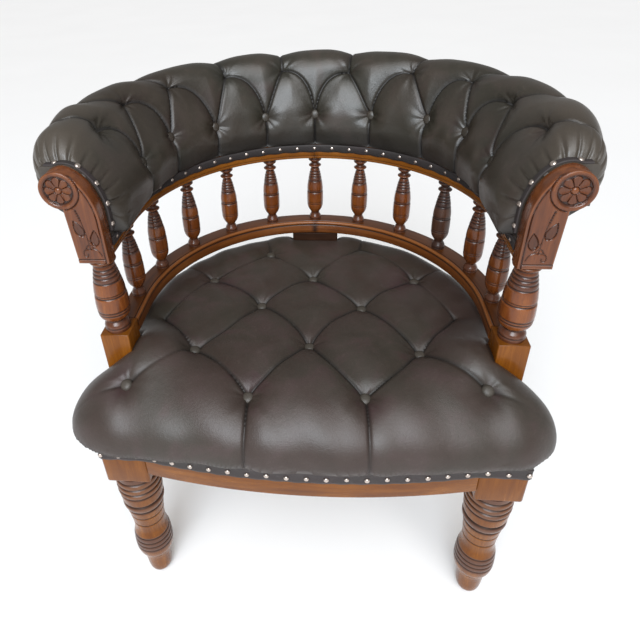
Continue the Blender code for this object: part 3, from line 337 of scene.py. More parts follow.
def tidyMesh(piece, caps=False):
    fill = {"fill_holes": {"sides": 0}} if caps else {}
    editMesh(piece, remove_doubles={"threshold": 0.00001}, delete_loose={}, **fill,
             normals_make_consistent={"inside": False})


def smooth(piece, degrees):
    pick(piece)
    bpy.ops.object.shade_smooth_by_angle(angle=math.radians(degrees))


def paint(piece, finishName):
    piece.data.materials.clear()
    piece.data.materials.append(finish[finishName])


def declare(piece, slot, *stoodFor):
    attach(piece, "root")
    if stoodFor:
        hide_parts(*stoodFor)


def gridPiece(name, points, layers):
    rows, columns = points.shape[:2]
    bpy.ops.mesh.primitive_grid_add(x_subdivisions=columns - 1, y_subdivisions=rows - 1)
    piece = named(name)
    setPoints(piece, points)
    store(piece, **{key: array.reshape(-1, *array.shape[2:]) for key, array in layers.items()})
    return piece


def lapped(array):
    return np.concatenate([array, array[:, :1]], axis=1)


def sweptPiece(name, points, layers, degrees, finishName, slot, *stoodFor, caps=True):
    # a grid wrapped round a row of closed sections
    piece = gridPiece(name, lapped(points), {key: lapped(array) for key, array in layers.items()})
    tidyMesh(piece, caps)
    smooth(piece, degrees)
    paint(piece, finishName)
    declare(piece, slot, *stoodFor)
    return piece


def copyPiece(piece, name, matrix):
    copy = piece.copy()
    copy.data = piece.data.copy()
    copy.name = name
    copy.data.name = name
    bpy.context.collection.objects.link(copy)
    copy.data.transform(matrix)
    return copy


def joinPieces(pieces, name):
    pick(*pieces)
    bpy.ops.object.join()
    return named(name)


def setOut(base, name, spots, finishName, slot, own):
    # copies of a small piece, one at each spot, each with its own turn or size
    made = []
    for number, (place, normal) in enumerate(spots):
        turn = Vector(normal).to_track_quat("Z", "Y").to_matrix().to_4x4()
        made.append(copyPiece(base, f"{name}{number}", Matrix.Translation(place) @ turn @ own(number)))
    bpy.data.objects.remove(base)
    piece = joinPieces(made, name)
    paint(piece, finishName)
    declare(piece, slot)


def boxPiece(name, low, high):
    bpy.ops.mesh.primitive_cube_add(size=1, location=(0, 0, 0))
    piece = named(name)
    low, high = Vector(low), Vector(high)
    piece.data.transform(Matrix.Translation((low + high) / 2) @ Matrix.Diagonal((*(high - low), 1)))
    return piece


def easedBlock(name, low, high, ease, facets):
    piece = boxPiece(name, low, high)
    editMesh(piece, bevel={"offset": ease, "segments": facets, "affect": "EDGES"})
    tidyMesh(piece)
    smooth(piece, 50)
    return piece


def smoothStep(value, low, high):
    share = np.clip((value - low) / (high - low), 0, 1)
    return share * share * (3 - 2 * share)


def unit(vectors):
    return vectors / (np.linalg.norm(vectors, axis=-1, keepdims=True) + 1e-12)


def lengthAlong(line):
    return np.concatenate([[0], np.cumsum(np.linalg.norm(np.diff(line, axis=0), axis=1))])


def valuesAt(want, along, rows):
    return np.stack([np.interp(want, along, column) for column in rows.T], -1)


def curveThrough(keys, count):
    # evenly spaced points on a smooth curve through the keys
    keys = np.asarray(keys, float)
    ends = np.vstack([2 * keys[0] - keys[1], keys, 2 * keys[-1] - keys[-2]])
    steps = np.linspace(0, 1, 24, endpoint=False)[:, None]
    parts = []
    for a, b, c, d in zip(ends, ends[1:], ends[2:], ends[3:]):
        parts.append(0.5 * (2 * b + (c - a) * steps + (2 * a - 5 * b + 4 * c - d) * steps ** 2
                            + (3 * b - a - 3 * c + d) * steps ** 3))
    line = np.vstack(parts + [keys[-1:]])
    along = lengthAlong(line)
    return valuesAt(np.linspace(0, along[-1], count), along, line)


def softened(ring):
    # a closed ring of values, averaged over near neighbours
    share = np.exp(-(np.linspace(-12, 12, 25) / 6.0) ** 2)
    return np.convolve(np.concatenate([ring[-13:-1], ring, ring[1:13]]), share / share.sum(), mode="valid")


def radiusAround(line, centre, bearings):
    rel = line - np.array(centre)
    angle = np.arctan2(rel[:, 1], rel[:, 0])
    order = np.argsort(angle)
    angle, radius = angle[order], np.hypot(*rel.T)[order]
    angle = np.concatenate([angle - 2 * math.pi, angle, angle + 2 * math.pi])
    return np.interp(bearings, angle, np.tile(radius, 3))


def bowStation(run):
    # point on the bows' centre line and the way outward, a run away from the middle of the back
    run = np.asarray(run, float)
    side = np.where(run < 0, -1.0, 1.0)
    angle = np.minimum(np.abs(run), quarter) / bowRadius
    outward = np.stack([side * np.sin(angle), np.cos(angle)], -1)
    point = outward * bowRadius + np.array([0, bowCentre])
    point[..., 1] -= np.maximum(np.abs(run) - quarter, 0)
    return point, outward


def sweep(path, outward, sections):
    # one section, or one for each place, of offsets outward and heights
    sections = np.broadcast_to(sections, (len(path), *sections.shape[-2:]))
    flat = path[:, None, :] + outward[:, None, :] * sections[:, :, :1]
    return np.concatenate([flat, sections[:, :, 1:]], axis=2)


def bowSweep(runs, sections):
    return sweep(*bowStation(runs), sections)


# camera and studio
camera = {"place": (0.029, -0.7175, 0.973), "yaw": -6.62, "pitch": 31.63, "roll": 2.82, "lens": 31.123,
          "shift": (0.06875, -0.09781)}


def makeCamera():
    yaw, pitch, roll = (math.radians(camera[key]) for key in ("yaw", "pitch", "roll"))
    data = bpy.data.cameras.new("photoCamera")
    data.lens = camera["lens"]
    data.sensor_width = 36
    data.shift_x, data.shift_y = camera["shift"]
    data.clip_start = 0.02
    item = bpy.data.objects.new("photoCamera", data)
    bpy.context.collection.objects.link(item)
    turn = Matrix.Rotation(-yaw, 4, "Z") @ Matrix.Rotation(math.pi / 2 - pitch, 4, "X")
    item.matrix_world = Matrix.Translation(camera["place"]) @ turn @ Matrix.Rotation(-roll, 4, "Z")
    bpy.context.scene.camera = item


studio = {
    "floorSize": 60.0, "floorColours": ((0.94, 0.94, 0.94), (0.9, 0.9, 0.9)), "worldStrength": 0.37,
    # name, kind, place, aim and settings
    "lamps": [("skyLight", "SUN", (0.05, -1.00, 1.1), (0, 0, 0), {"energy": 2.6, "angle": math.radians(58)}),
              ("doorLight", "AREA", (-0.3, -2.6, 2.3), (0, 0, 0.5),
               {"energy": 54, "size": 1.4, "color": (0.8, 0.9, 1.0)})],
}


def makeStudio():
    bpy.ops.mesh.primitive_grid_add(x_subdivisions=8, y_subdivisions=8, size=studio["floorSize"])
    floor = named("studioFloor")
    material, place = newMaterial("paleFloor")
    drift = place.noise(1.5).tint(*studio["floorColours"])
    place.surface({"Base Color": drift, "Roughness": 0.9, "Specular IOR Level": 0.1})
    floor.data.materials.append(material)
    world = bpy.data.worlds.new("studioWorld")
    bpy.context.scene.world = world
    world.use_nodes = True
    world.node_tree.nodes.clear()
    start = Wire(world.node_tree)
    dim = studio["worldStrength"]
    strength = start.node("LightPath", output="Is Camera Ray") * (1.0 - dim) + dim
    glow = start.node("Background", {"Color": (1, 1, 1, 1), "Strength": strength})
    start.node("OutputWorld", {"Surface": glow})
    for name, kind, place, aim, settings in studio["lamps"]:
        data = bpy.data.lights.new(name, kind)
        for key, value in settings.items():
            setattr(data, key, value)
        lamp = bpy.data.objects.new(name, data)
        bpy.context.collection.objects.link(lamp)
        lamp.location = place
        lamp.rotation_euler = (Vector(aim) - Vector(place)).to_track_quat("-Z", "Y").to_euler()
    bpy.context.scene.view_settings.view_transform = "Standard"


makeCamera()
makeStudio()
print("camera and studio set")

# turned work: a half section drawn once and spun round its axis
turning = {"fullCut": 0.001, "fullBend": 900, "stainFade": 0.012}


def turnedLine(look, height):
    # radius at each level from the body's keys, with cuts taken out and beads put on
    dense = curveThrough(look["keys"], 400)
    order = np.argsort(dense[:, 1])
    shares = np.linspace(0, 1, int(height / look["step"]) + 1)
    levels = shares * height
    plain = np.interp(shares, dense[order, 1], dense[order, 0])
    radius = plain.copy()
    for share, depth, width in look["cuts"]:
        radius -= depth * np.exp(-((shares - share) * height / width) ** 2)
    for share, rise, width in look.get("beads", ()):
        radius += rise * np.sqrt(np.clip(1 - ((shares - share) * height / width) ** 2, 0, 1))
    # painted shade with wax: darker in the cuts and hollows, and lighter on the crests with wear
    away = np.clip((plain - radius) / turning["fullCut"], -1, 1)
    hollow = np.clip(np.gradient(np.gradient(radius, levels), levels) / turning["fullBend"], -0.6, 0.8)
    fade = turning["stainFade"]
    stain = np.zeros(len(shares))
    for first, last, amount in look["stains"]:
        ending = smoothStep(shares, last, last + fade)
        stain += amount * smoothStep(shares, first - fade, first) * (1 - ending)
    return radius, levels, np.clip(away * 0.9 + hollow, -1, 1), stain


def turnedPiece(look, height, offset=0.0):
    radius, levels, groove, stain = turnedLine(look, height)
    half = np.zeros((len(levels) + 2, 3))
    half[1:-1, 0] = radius
    half[1:-1, 2] = levels
    half[-1, 2] = levels[-1]
    bpy.ops.mesh.primitive_circle_add(vertices=len(half), radius=1)
    piece = named("turned")
    setPoints(piece, half)
    editMesh(piece, spin={"steps": look["turns"], "angle": 2 * math.pi, "center": (0, 0, 0),
                          "axis": (0, 0, 1), "use_auto_merge": True})
    tidyMesh(piece)
    points = meshPoints(piece)
    store(piece, grain=points[:, [2, 0, 1]] + [offset, offset, -offset],
          groove=np.interp(points[:, 2], levels, groove), stain=np.interp(points[:, 2], levels, stain))
    smooth(piece, 60)
    return piece


spindle = {
    "turns": 28, "step": 0.0007, "turn": 1.3, "grainStep": 0.37, "smoked": 9,
    # radius and share of the height, foot to cap
    "keys": [(0.01, 0.0), (0.0104, 0.02), (0.0103, 0.05), (0.0088, 0.078), (0.0074, 0.105), (0.0074, 0.122),
             (0.0094, 0.15), (0.0118, 0.182), (0.0134, 0.22), (0.0141, 0.27), (0.0143, 0.36), (0.0141, 0.46),
             (0.0134, 0.55), (0.012, 0.63), (0.0105, 0.71), (0.009, 0.77), (0.0074, 0.812), (0.0066, 0.832),
             (0.0084, 0.845), (0.0104, 0.858), (0.0106, 0.868), (0.0082, 0.882), (0.0068, 0.896),
             (0.0068, 0.914), (0.009, 0.934), (0.011, 0.948), (0.0113, 0.97), (0.0112, 1.0)],
    # share of the height, depth and width
    "cuts": [(0.022, 0.0007, 0.0008), (0.275, 0.0006, 0.0008), (0.3, 0.0005, 0.0007), (0.465, 0.0012, 0.0011),
             (0.49, 0.0006, 0.0008), (0.64, 0.0008, 0.0009), (0.7, 0.0008, 0.0009), (0.735, 0.0008, 0.0009),
             (0.775, 0.0009, 0.0009), (0.976, 0.0006, 0.0007)],
    # darker bands, from and to shares of the height
    "stains": [(0.0, 0.13, 0.6), (0.44, 0.5, 0.3), (0.62, 0.8, 0.7), (0.82, 1.0, 0.5)],
}


def makeSpindles():
    first = turnedPiece(spindle, upperBase - lowerTop - 2 * clear)
    upright = meshPoints(first)[:, [2, 0, 1]]
    for number in range(1, 12):
        node = f"spindle_{number:02d}"
        low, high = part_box(node)
        place = ((low.x + high.x) / 2, (low.y + high.y) / 2, lowerTop + clear)
        turn = Matrix.Rotation(number * spindle["turn"], 4, "Z")
        piece = copyPiece(first, "turned_" + node, Matrix.Translation(place) @ turn)
        shift = number * spindle["grainStep"]
        store(piece, grain=upright + [shift, shift, 0])
        paint(piece, "smokedWalnut" if number == spindle["smoked"] else "redWalnut")
        declare(piece, "red_wood", node)
    bpy.data.objects.remove(first)


makeSpindles()
print("spindles turned")

post = {
    "turns": 40, "step": 0.0008, "wood": "redWalnut", "grain": (0.5, 0.2),
    "half": postHalf, "ease": 0.0016, "facets": 3, "near": 0.001, "blockWax": (0.35, -0.05), "lap": 0.0002,
    "keys": [(0.0168, 0.0), (0.0174, 0.03), (0.0175, 0.06), (0.0165, 0.095), (0.0142, 0.125), (0.0132, 0.145),
             (0.016, 0.17), (0.0196, 0.2), (0.0214, 0.245), (0.022, 0.31), (0.0219, 0.4), (0.021, 0.5),
             (0.0197, 0.6), (0.0179, 0.69), (0.016, 0.77), (0.0146, 0.828), (0.0136, 0.858), (0.0131, 0.874),
             (0.015, 0.888), (0.0168, 0.902), (0.0172, 0.916), (0.016, 0.932), (0.0138, 0.946),
             (0.0134, 0.966), (0.0148, 1.0)],
    "cuts": [(0.055, 0.0009, 0.001), (0.262, 0.0008, 0.001), (0.298, 0.0008, 0.001), (0.488, 0.0014, 0.0013),
             (0.515, 0.0008, 0.0009), (0.672, 0.0009, 0.001), (0.73, 0.001, 0.001), (0.776, 0.001, 0.001),
             (0.822, 0.001, 0.001)],
    "stains": [(0.0, 0.15, 0.6), (0.25, 0.31, 0.35), (0.665, 0.835, 0.65), (0.86, 1.0, 0.3)],
}
leg = {
    "turns": 44, "step": 0.0008, "wood": "goldWalnut", "grain": (0.9, 0.25),
    "half": legHalf, "ease": 0.0045, "facets": 4, "near": 0.003, "blockWax": (0.15, -0.1), "lap": 0.0002,
    "keys": [(0.005, 0.0), (0.0118, 0.006), (0.0158, 0.02), (0.0184, 0.042), (0.0198, 0.075), (0.0206, 0.12),
             (0.0214, 0.165), (0.0226, 0.2), (0.0252, 0.225), (0.0284, 0.252), (0.0302, 0.285),
             (0.0308, 0.32), (0.0304, 0.37), (0.0292, 0.415), (0.027, 0.452), (0.0253, 0.485), (0.0253, 0.53),
             (0.0268, 0.6), (0.0292, 0.675), (0.0314, 0.735), (0.0328, 0.79), (0.0336, 0.85),
             (0.0334, 0.92), (0.0328, 0.97), (0.0324, 1.0)],
    "cuts": [(0.215, 0.001, 0.0013), (0.318, 0.0013, 0.0013), (0.353, 0.0015, 0.0014),
             (0.388, 0.0015, 0.0014), (0.425, 0.0012, 0.0013), (0.548, 0.001, 0.0013),
             (0.625, 0.001, 0.0013), (0.692, 0.0026, 0.0022), (0.756, 0.0028, 0.0024),
             (0.836, 0.002, 0.0018), (0.878, 0.0022, 0.0018), (0.92, 0.0022, 0.0018), (0.962, 0.002, 0.0018)],
    "beads": [(0.724, 0.0012, 0.005), (0.857, 0.0008, 0.004), (0.899, 0.0008, 0.004), (0.941, 0.0008, 0.004)],
    "stains": [(0.0, 0.03, 0.6), (0.31, 0.43, 0.85), (0.685, 0.765, 0.8), (0.83, 1.0, 0.75)],
}


def makeTurnedPair(look, node, slot, place, height, joint, far):
    # a turned length, and the square block between its joint and the far level
    low, high = sorted((far, joint + math.copysign(look["lap"], joint - far)))
    half, y = look["half"], place[1]
    for name, side in sides:
        x = side * place[0]
        turned = turnedPiece(look, height, look["grain"][0] + side * look["grain"][1])
        turned.data.transform(Matrix.Translation((x, y, place[2])))
        block = easedBlock("block", (x - half, y - half, low), (x + half, y + half, high), look["ease"],
                           look["facets"])
        points = meshPoints(block)
        near = np.abs(points[:, 2] - joint) < look["near"]
        store(block, grain=points[:, [2, 0, 1]] + [side, 0, 0], groove=np.where(near, *look["blockWax"]))
        paint(turned, look["wood"])
        paint(block, "goldWalnut")
        declare(joinPieces([turned, block], f"turned_{node}_{name}"), slot, f"{node}_{name}")


makeTurnedPair(post, "arm_post", "red_wood", (postX, postY, lowerTop), upperBase - lowerTop - clear, lowerTop,
               railTop + clear)
print("arm posts turned")
makeTurnedPair(leg, "front_leg", "golden_wood", (legX, legY, 0), legTurned, legTurned, railTop)
print("front legs turned")

rearLeg = {"rake": 0.045, "foot": 0.016, "ease": 0.004, "levels": 40, "ringFacets": 48}


def makeRearLegs():
    # square legs, upright between the rails and swept outward below
    facet = seatRadius * math.cos(math.pi / rearLeg["ringFacets"])
    middle = math.sqrt(facet ** 2 - rearLegHalf ** 2) - rearLegHalf
    corners = np.repeat(np.arange(4), 5) * math.pi / 2
    bearings = corners + np.tile(np.linspace(0, math.pi / 2, 5), 4)
    square = np.stack([np.cos(corners + math.pi / 4), np.sin(corners + math.pi / 4)], -1) * math.sqrt(2)
    eased = np.stack([np.cos(bearings), np.sin(bearings)], -1) * rearLeg["ease"]
    levels = np.linspace(railTop, 0, rearLeg["levels"])[:, None, None]
    drop = np.maximum(0, 1 - levels / railBase)
    shape = square * (rearLegHalf + (rearLeg["foot"] - rearLegHalf) * drop - rearLeg["ease"]) + eased
    shape[..., :1] += middle + rearLeg["rake"] * drop ** 2
    for name, side in sides:
        out = np.array([side * math.sin(rearLegAngle), math.cos(rearLegAngle)])
        along = np.array([-out[1], out[0]])
        flat = shape[..., :1] * out + shape[..., 1:] * along + [0, bowCentre]
        points = np.concatenate([flat, np.broadcast_to(levels, (*flat.shape[:2], 1))], axis=2)
        layers = {"grain": points[..., [2, 0, 1]] + [side, 0, 0], "groove": np.zeros(points.shape[:2])}
        sweptPiece("swept_rear_leg_" + name, points, layers, 50, "goldWalnut", "golden_wood",
                   "rear_leg_" + name)


makeRearLegs()
print("rear legs swept")

# bows: a moulded section carried round the horseshoe
bow = {"step": 0.008, "halfJoint": 0.00015, "jointWax": 0.8, "grainStep": 2.0}
lowerBow = {
    # offset across the rail and height below its top
    "section": [(0.0128, -0.023), (0.015, -0.0222), (0.016, -0.02), (0.016, -0.003), (0.0152, -0.0008),
                (0.013, 0.0), (-0.0098, 0.0), (-0.0104, -0.0009), (-0.011, -0.0009), (-0.0116, -0.0001),
                (-0.0132, 0.0002), (-0.0148, -0.0004), (-0.0158, -0.0018), (-0.016, -0.0032),
                (-0.0157, -0.0046), (-0.0149, -0.0056), (-0.0147, -0.0064), (-0.0152, -0.0072),
                (-0.0156, -0.008), (-0.0157, -0.019), (-0.0152, -0.0214), (-0.0138, -0.0227),
                (-0.012, -0.023)],
    # darkness at each point of the section: painted shade with wax in the grooves and painted shade on the
    # top; below zero lighter with wear
    "groove": [0, -0.1, -0.1, 0, -0.1, 0.35, 0.45, 1, 1, 0.1, -0.5, -0.7, -0.6, -0.2, 0.4, 1, 1, 0.7, 0.2,
               0.15, -0.4, -0.3, 0],
}
upperBow = {
    "section": [(0.0122, -0.026), (0.0148, -0.025), (0.016, -0.0226), (0.016, -0.002), (0.0145, 0.0),
                (-0.015, 0.0), (-0.016, -0.001), (-0.016, -0.013), (-0.016, -0.0196), (-0.0154, -0.0206),
                (-0.0157, -0.0216), (-0.0156, -0.0236), (-0.0146, -0.0252), (-0.0124, -0.026)],
    # below zero on the front face: painted light, lifting a face that lies in the roll's shadow
    "groove": [0, -0.1, -0.1, 0, 0, 0, -0.2, -0.5, -0.4, 0.8, -0.2, -0.6, -0.5, 0],
}


def makeBow(level, look, top, end, wood):
    section = np.array(look["section"]) + [0, top]
    curved = np.linspace(bow["halfJoint"], quarter, int(quarter / bow["step"]))
    runs = np.concatenate([curved, np.linspace(quarter, end, 8)[1:]])
    for name, side in sides:
        points = bowSweep(side * runs, section)
        grain = np.zeros(points.shape)
        grain[..., 0] = runs[:, None] + side * bow["grainStep"]
        grain[..., 1:] = section
        groove = np.zeros(points.shape[:2]) + look["groove"]
        groove[0] += bow["jointWax"]
        sweptPiece(f"moulded_{level}_bow_{name}", points, {"grain": grain, "groove": groove}, 45, wood,
                   "golden_wood", f"{level}_bow_{name}")


def makeSupportBlock():
    block = easedBlock("bevelled_support_block", *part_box("back_support_block"), 0.002, 3)
    points = meshPoints(block)
    store(block, grain=points, groove=np.zeros(len(points)))
    paint(block, "darkWalnut")
    declare(block, "dark_wood", "back_support_block")


makeBow("lower", lowerBow, lowerTop, quarter + bowCentre - postY - postHalf - clear, "railWalnut")
makeBow("upper", upperBow, upperTop, armEnd, "goldWalnut")
makeSupportBlock()
print("bows moulded")

# seat rails under the leather
rail = {"ease": 0.003, "wear": -0.4, "setBack": 0.0008, "arcSteps": 40, "straightSteps": 10, "straight": 0.08}


def frontLine(x):
    return legFront - frontBow * np.maximum(0, 1 - (np.asarray(x) / legInner) ** 2)


def railSection():
    # depth behind the face and height, its lower front edge rounded
    ease = rail["ease"]
    angles = np.linspace(0, math.pi / 2, 5)
    bend = np.stack([ease - ease * np.cos(angles), railBase + ease - ease * np.sin(angles)], -1)
    face = [(0, railTop), (0, (railTop + railBase) / 2)]
    return np.vstack([face, bend, [(railThick, railBase), (railThick, railTop)]])


def sweptRail(name, points, grain, node):
    groove = np.zeros(points.shape[:2])
    groove[:, 3:6] = rail["wear"]
    sweptPiece(name, points, {"grain": grain, "groove": groove}, 45, "goldWalnut", "golden_wood", node)


def makeRails():
    section = railSection()
    xs = np.linspace(-1, 1, 61) * (legInner - clear)
    points = sweep(np.stack([xs, frontLine(xs)], -1), np.tile([0.0, 1.0], (len(xs), 1)), section)
    sweptRail("bowed_front_rail", points, points, "front_seat_rail")
    gap = math.asin((rearLegHalf + clear) / (seatRadius - railThick))
    near, far = rearLegAngle - gap, rearLegAngle + gap
    spans = {"rear_seat_rail": (-near, near, 1), "side_seat_rail_left": (far, math.pi / 2, -1),
             "side_seat_rail_right": (far, math.pi / 2, 1)}
    for node, (first, last, side) in spans.items():
        angles = np.linspace(first, last, rail["arcSteps"])
        outs = np.stack([side * np.sin(angles), np.cos(angles)], -1)
        path = outs * (seatRadius - rail["setBack"]) + [0, bowCentre]
        lengths = angles * seatRadius
        if node != "rear_seat_rail":
            # straight on to the front leg
            share = np.linspace(0, 1, rail["straightSteps"])[1:, None]
            end = np.array([side * legOuter, legBack + clear])
            path = np.vstack([path, path[-1] * (1 - share) + end * share])
            outs = np.vstack([outs, np.repeat(outs[-1:], len(share), axis=0)])
            lengths = np.append(lengths, lengths[-1] + share * rail["straight"])
        points = sweep(path, -outs, section)
        grain = np.zeros(points.shape)
        grain[..., 0] = lengths[:, None]
        grain[..., 1:] = section
        sweptRail("curved_" + node, points, grain, node)


makeRails()
print("seat rails shaped")

# carved arm facings: relief cut into the face of a shaped board
facing = {
    "half": 0.0195, "shoulder": 0.055, "rosette": (0.0225, 0.0975), "rosetteRadius": 0.023,
    "rows": 230, "columns": 78, "crowding": 1.7, "topGap": 0.00005, "cut": 0.0013, "cutWidth": 0.0008,
    # border and field round the leaves
    "border": 0.0042, "footLine": 0.0055, "footEnd": -0.0153, "field": 0.0005, "edgeFall": 0.0009,
    "edgeEase": 0.0012, "rub": 0.6, "rubAt": 0.0011, "rubWidth": 0.0009,
    # walls behind the face, as shares of the thickness, the last one drawn in a little
    "walls": (0.25, 0.6, 0.93, 1.0), "drawIn": 0.0012, "wallWax": -0.15, "faceStain": 0.22,
    # rosette: rim cut and ring cut round the sunk petals and their bead
    "rim": 0.024, "rimCut": 0.0243, "rimEnd": 0.019, "ringCut": 0.0182, "recess": 0.0176, "floor": 0.0026,
    "petals": 8, "petalTip": 0.0168, "tipRound": 0.003, "bead": 0.0042, "beadRise": 0.003,
    "stem": [(0.0085, 0.0745), (0.0052, 0.062), (0.003, 0.05), (0.0014, 0.036), (0.0004, 0.02)],
    "dots": [(0.0079, 0.072), (0.0071, 0.069), (0.0064, 0.066), (0.0057, 0.063), (0.005, 0.06)],
    "dotDepth": 0.0012, "dotRadius": 0.0013, "dotWaxShade": 0.0015,
    # place, half width, half height and turn
    "leaves": [((-0.0076, 0.0352), 0.0058, 0.0108, 0.15), ((0.0098, 0.0484), 0.006, 0.0112, -0.35)],
    "leafDepth": 0.0009, "leafWaxShade": 0.52, "vein": 0.0004,
    "twigs": [[(0.0012, 0.033), (-0.003, 0.029), (-0.0068, 0.0268)],
              [(0.0022, 0.043), (0.006, 0.04), (0.0092, 0.0388)],
              [(0.0004, 0.02), (-0.005, 0.0205), (-0.0096, 0.0168), (-0.012, 0.011)],
              [(0.0004, 0.02), (0.0062, 0.02), (0.01, 0.016), (0.0098, 0.0105), (0.0058, 0.0098),
               (0.0048, 0.0135)],
              [(-0.005, 0.0205), (-0.002, 0.024), (0.0004, 0.0262)],
              [(0.0062, 0.02), (0.004, 0.0245), (0.0012, 0.0262)]],
}
facingTop = facing["rosette"][1] + facing["rosetteRadius"]


def facingEdges(up):
    half, shoulder, radius = facing["half"], facing["shoulder"], facing["rosetteRadius"]
    centreA, centreUp = facing["rosette"]
    lift = np.clip((up - shoulder) / (facingTop - shoulder), 0, 1)
    inner = np.where(up < shoulder, -half, centreA - (centreA + half) * np.sqrt(1 - lift ** 2))
    under = centreUp - radius
    scroll = centreA + np.sqrt(np.maximum(radius ** 2 - (up - centreUp) ** 2, 0))
    outer = np.where(up < under, half + (centreA - half) * up / under, scroll)
    return inner, outer


def lineDistance(a, up, line):
    best = np.full(a.shape, 1.0)
    for (a0, u0), (a1, u1) in zip(line, line[1:]):
        da, du = a1 - a0, u1 - u0
        share = np.clip(((a - a0) * da + (up - u0) * du) / (da * da + du * du), 0, 1)
        best = np.minimum(best, np.hypot(a - a0 - share * da, up - u0 - share * du))
    return best


def innerEdgeDistance(a, up):
    half, shoulder, centreA = facing["half"], facing["shoulder"], facing["rosette"][0]
    wide, tall = centreA + half, facingTop - shoulder
    p, q = (a - centreA) / wide, (up - shoulder) / tall
    e = np.sqrt(p * p + q * q) + 1e-9
    slope = np.sqrt((p / wide) ** 2 + (q / tall) ** 2) / e + 1e-9
    return np.where(up < shoulder, a + half, (1 - e) / slope)


def carveRosette(rho, theta):
    # scooped petals round a bead, in a sunk ring
    floor, bead = facing["floor"], facing["bead"]
    sunk = smoothStep(facing["recess"] - rho, -0.0003, 0.0006)
    sector = 2 * math.pi / facing["petals"]
    away = np.abs((theta + sector / 2) % sector - sector / 2) / (sector / 2)
    tip = facing["petalTip"] - facing["tipRound"] * away ** 2
    petal = np.clip((0.97 - away) / 0.14, 0, 1) * np.clip((tip - rho) / 0.001, 0, 1)
    petal *= np.clip((rho - bead) / 0.0008, 0, 1)
    scoop = (0.3 + 0.7 * np.clip(away, 0, 1) ** 2) * (0.65 + 0.35 * np.clip(rho / 0.016, 0, 1))
    dome = np.sqrt(np.clip(1 - (rho / bead) ** 2, 0, 1))
    depth = floor * (1 - petal * (0.25 + 0.6 * scoop))
    depth = np.where(rho < bead, floor * 0.9 - facing["beadRise"] * dome, depth)
    # painted shade with wax in the sunk ring, less on the petals; the bead lighter with wear
    wax = np.where(rho < bead - 0.0002, -0.4, 1 - petal * 0.72)
    return sunk, depth, wax * 0.95


def carve(a, up):
    # depth of the carving, and how dark the wax and painted shade lie in it
    ca, cu = facing["rosette"]
    radius, border, footLine = facing["rosetteRadius"], facing["border"], facing["footLine"]
    rho = np.hypot(a - ca, up - cu)
    inset = innerEdgeDistance(a, up)
    edge = np.minimum(np.minimum(inset, np.maximum(facingEdges(up)[1] - a, 0)), up)
    edge = np.where((rho < radius) & (up > cu), np.minimum(edge, radius - rho), edge)
    edge = np.maximum(edge, 0)
    depth = facing["edgeFall"] * np.clip(1 - edge / facing["edgeEase"], 0, 1) ** 2
    wax = np.zeros(a.shape)
    outside = rho > facing["rim"]
    depth += np.where(outside & (inset > border) & (up > footLine), facing["field"], 0)
    frameCut = np.minimum(np.abs(inset - border), np.abs(up - footLine) + (a < facing["footEnd"]))
    # distance from each line, its strength and where it runs
    marks = [(frameCut, 1.2, outside), (np.abs(rho - facing["rimCut"]), 1.2, a < facing["rimEnd"]),
             (np.abs(rho - facing["ringCut"]), 0.7, rho < 1),
             (lineDistance(a, up, curveThrough(facing["stem"], 24)), 0.9, outside)]
    for twig in facing["twigs"]:
        marks.append((lineDistance(a, up, curveThrough(twig, 14)), 1.0, outside))
    for (la, lu), wide, tall, turn in facing["leaves"]:
        da, du = a - la, up - lu
        x = da * math.cos(turn) + du * math.sin(turn)
        y = -da * math.sin(turn) + du * math.cos(turn)
        t = np.clip((y / tall + 1) / 2, 0, 1)
        reach = wide * np.sin(math.pi * t ** 0.8) ** 0.8 * (1 - 0.25 * t)
        gap = np.where(np.abs(y) < tall, np.abs(np.abs(x) - reach), np.hypot(x, np.abs(y) - tall))
        inside = (np.abs(y) < tall) & (np.abs(x) < reach)
        depth += np.where(inside, facing["leafDepth"] * (1 - (x / (reach + 1e-6)) ** 2), 0)
        # painted shade with wax inside each leaf
        wax = np.maximum(wax, np.where(inside & outside, facing["leafWaxShade"], 0))
        marks += [(gap, 1.4, outside), (np.where(inside, np.abs(x - facing["vein"]), 1), 0.6, outside)]
    for da, du in facing["dots"]:
        spot = np.hypot(a - da, up - du)
        depth += np.where(outside, facing["dotDepth"] * np.exp(-(spot / facing["dotRadius"]) ** 2), 0)
        wax = np.maximum(wax, np.where(outside, np.exp(-(spot / facing["dotWaxShade"]) ** 2), 0))
    # painted shade with wax along each cut line
    for gap, strength, where in marks:
        line = np.where(where, np.exp(-(gap / facing["cutWidth"]) ** 2), 0)
        depth = np.maximum(depth, depth * 0.6 + facing["cut"] * strength * line)
        wax = np.maximum(wax, line * min(1, 0.8 * strength))
    sunk, inDepth, inWaxShade = carveRosette(rho, np.arctan2(up - cu, a - ca))
    depth = depth * (1 - sunk) + inDepth * sunk
    wax = wax * (1 - sunk) + inWaxShade * sunk
    rim = np.exp(-((edge - facing["rubAt"]) / facing["rubWidth"]) ** 2)
    return depth, wax - rim * np.where(wax < 0.2, facing["rub"], 0)


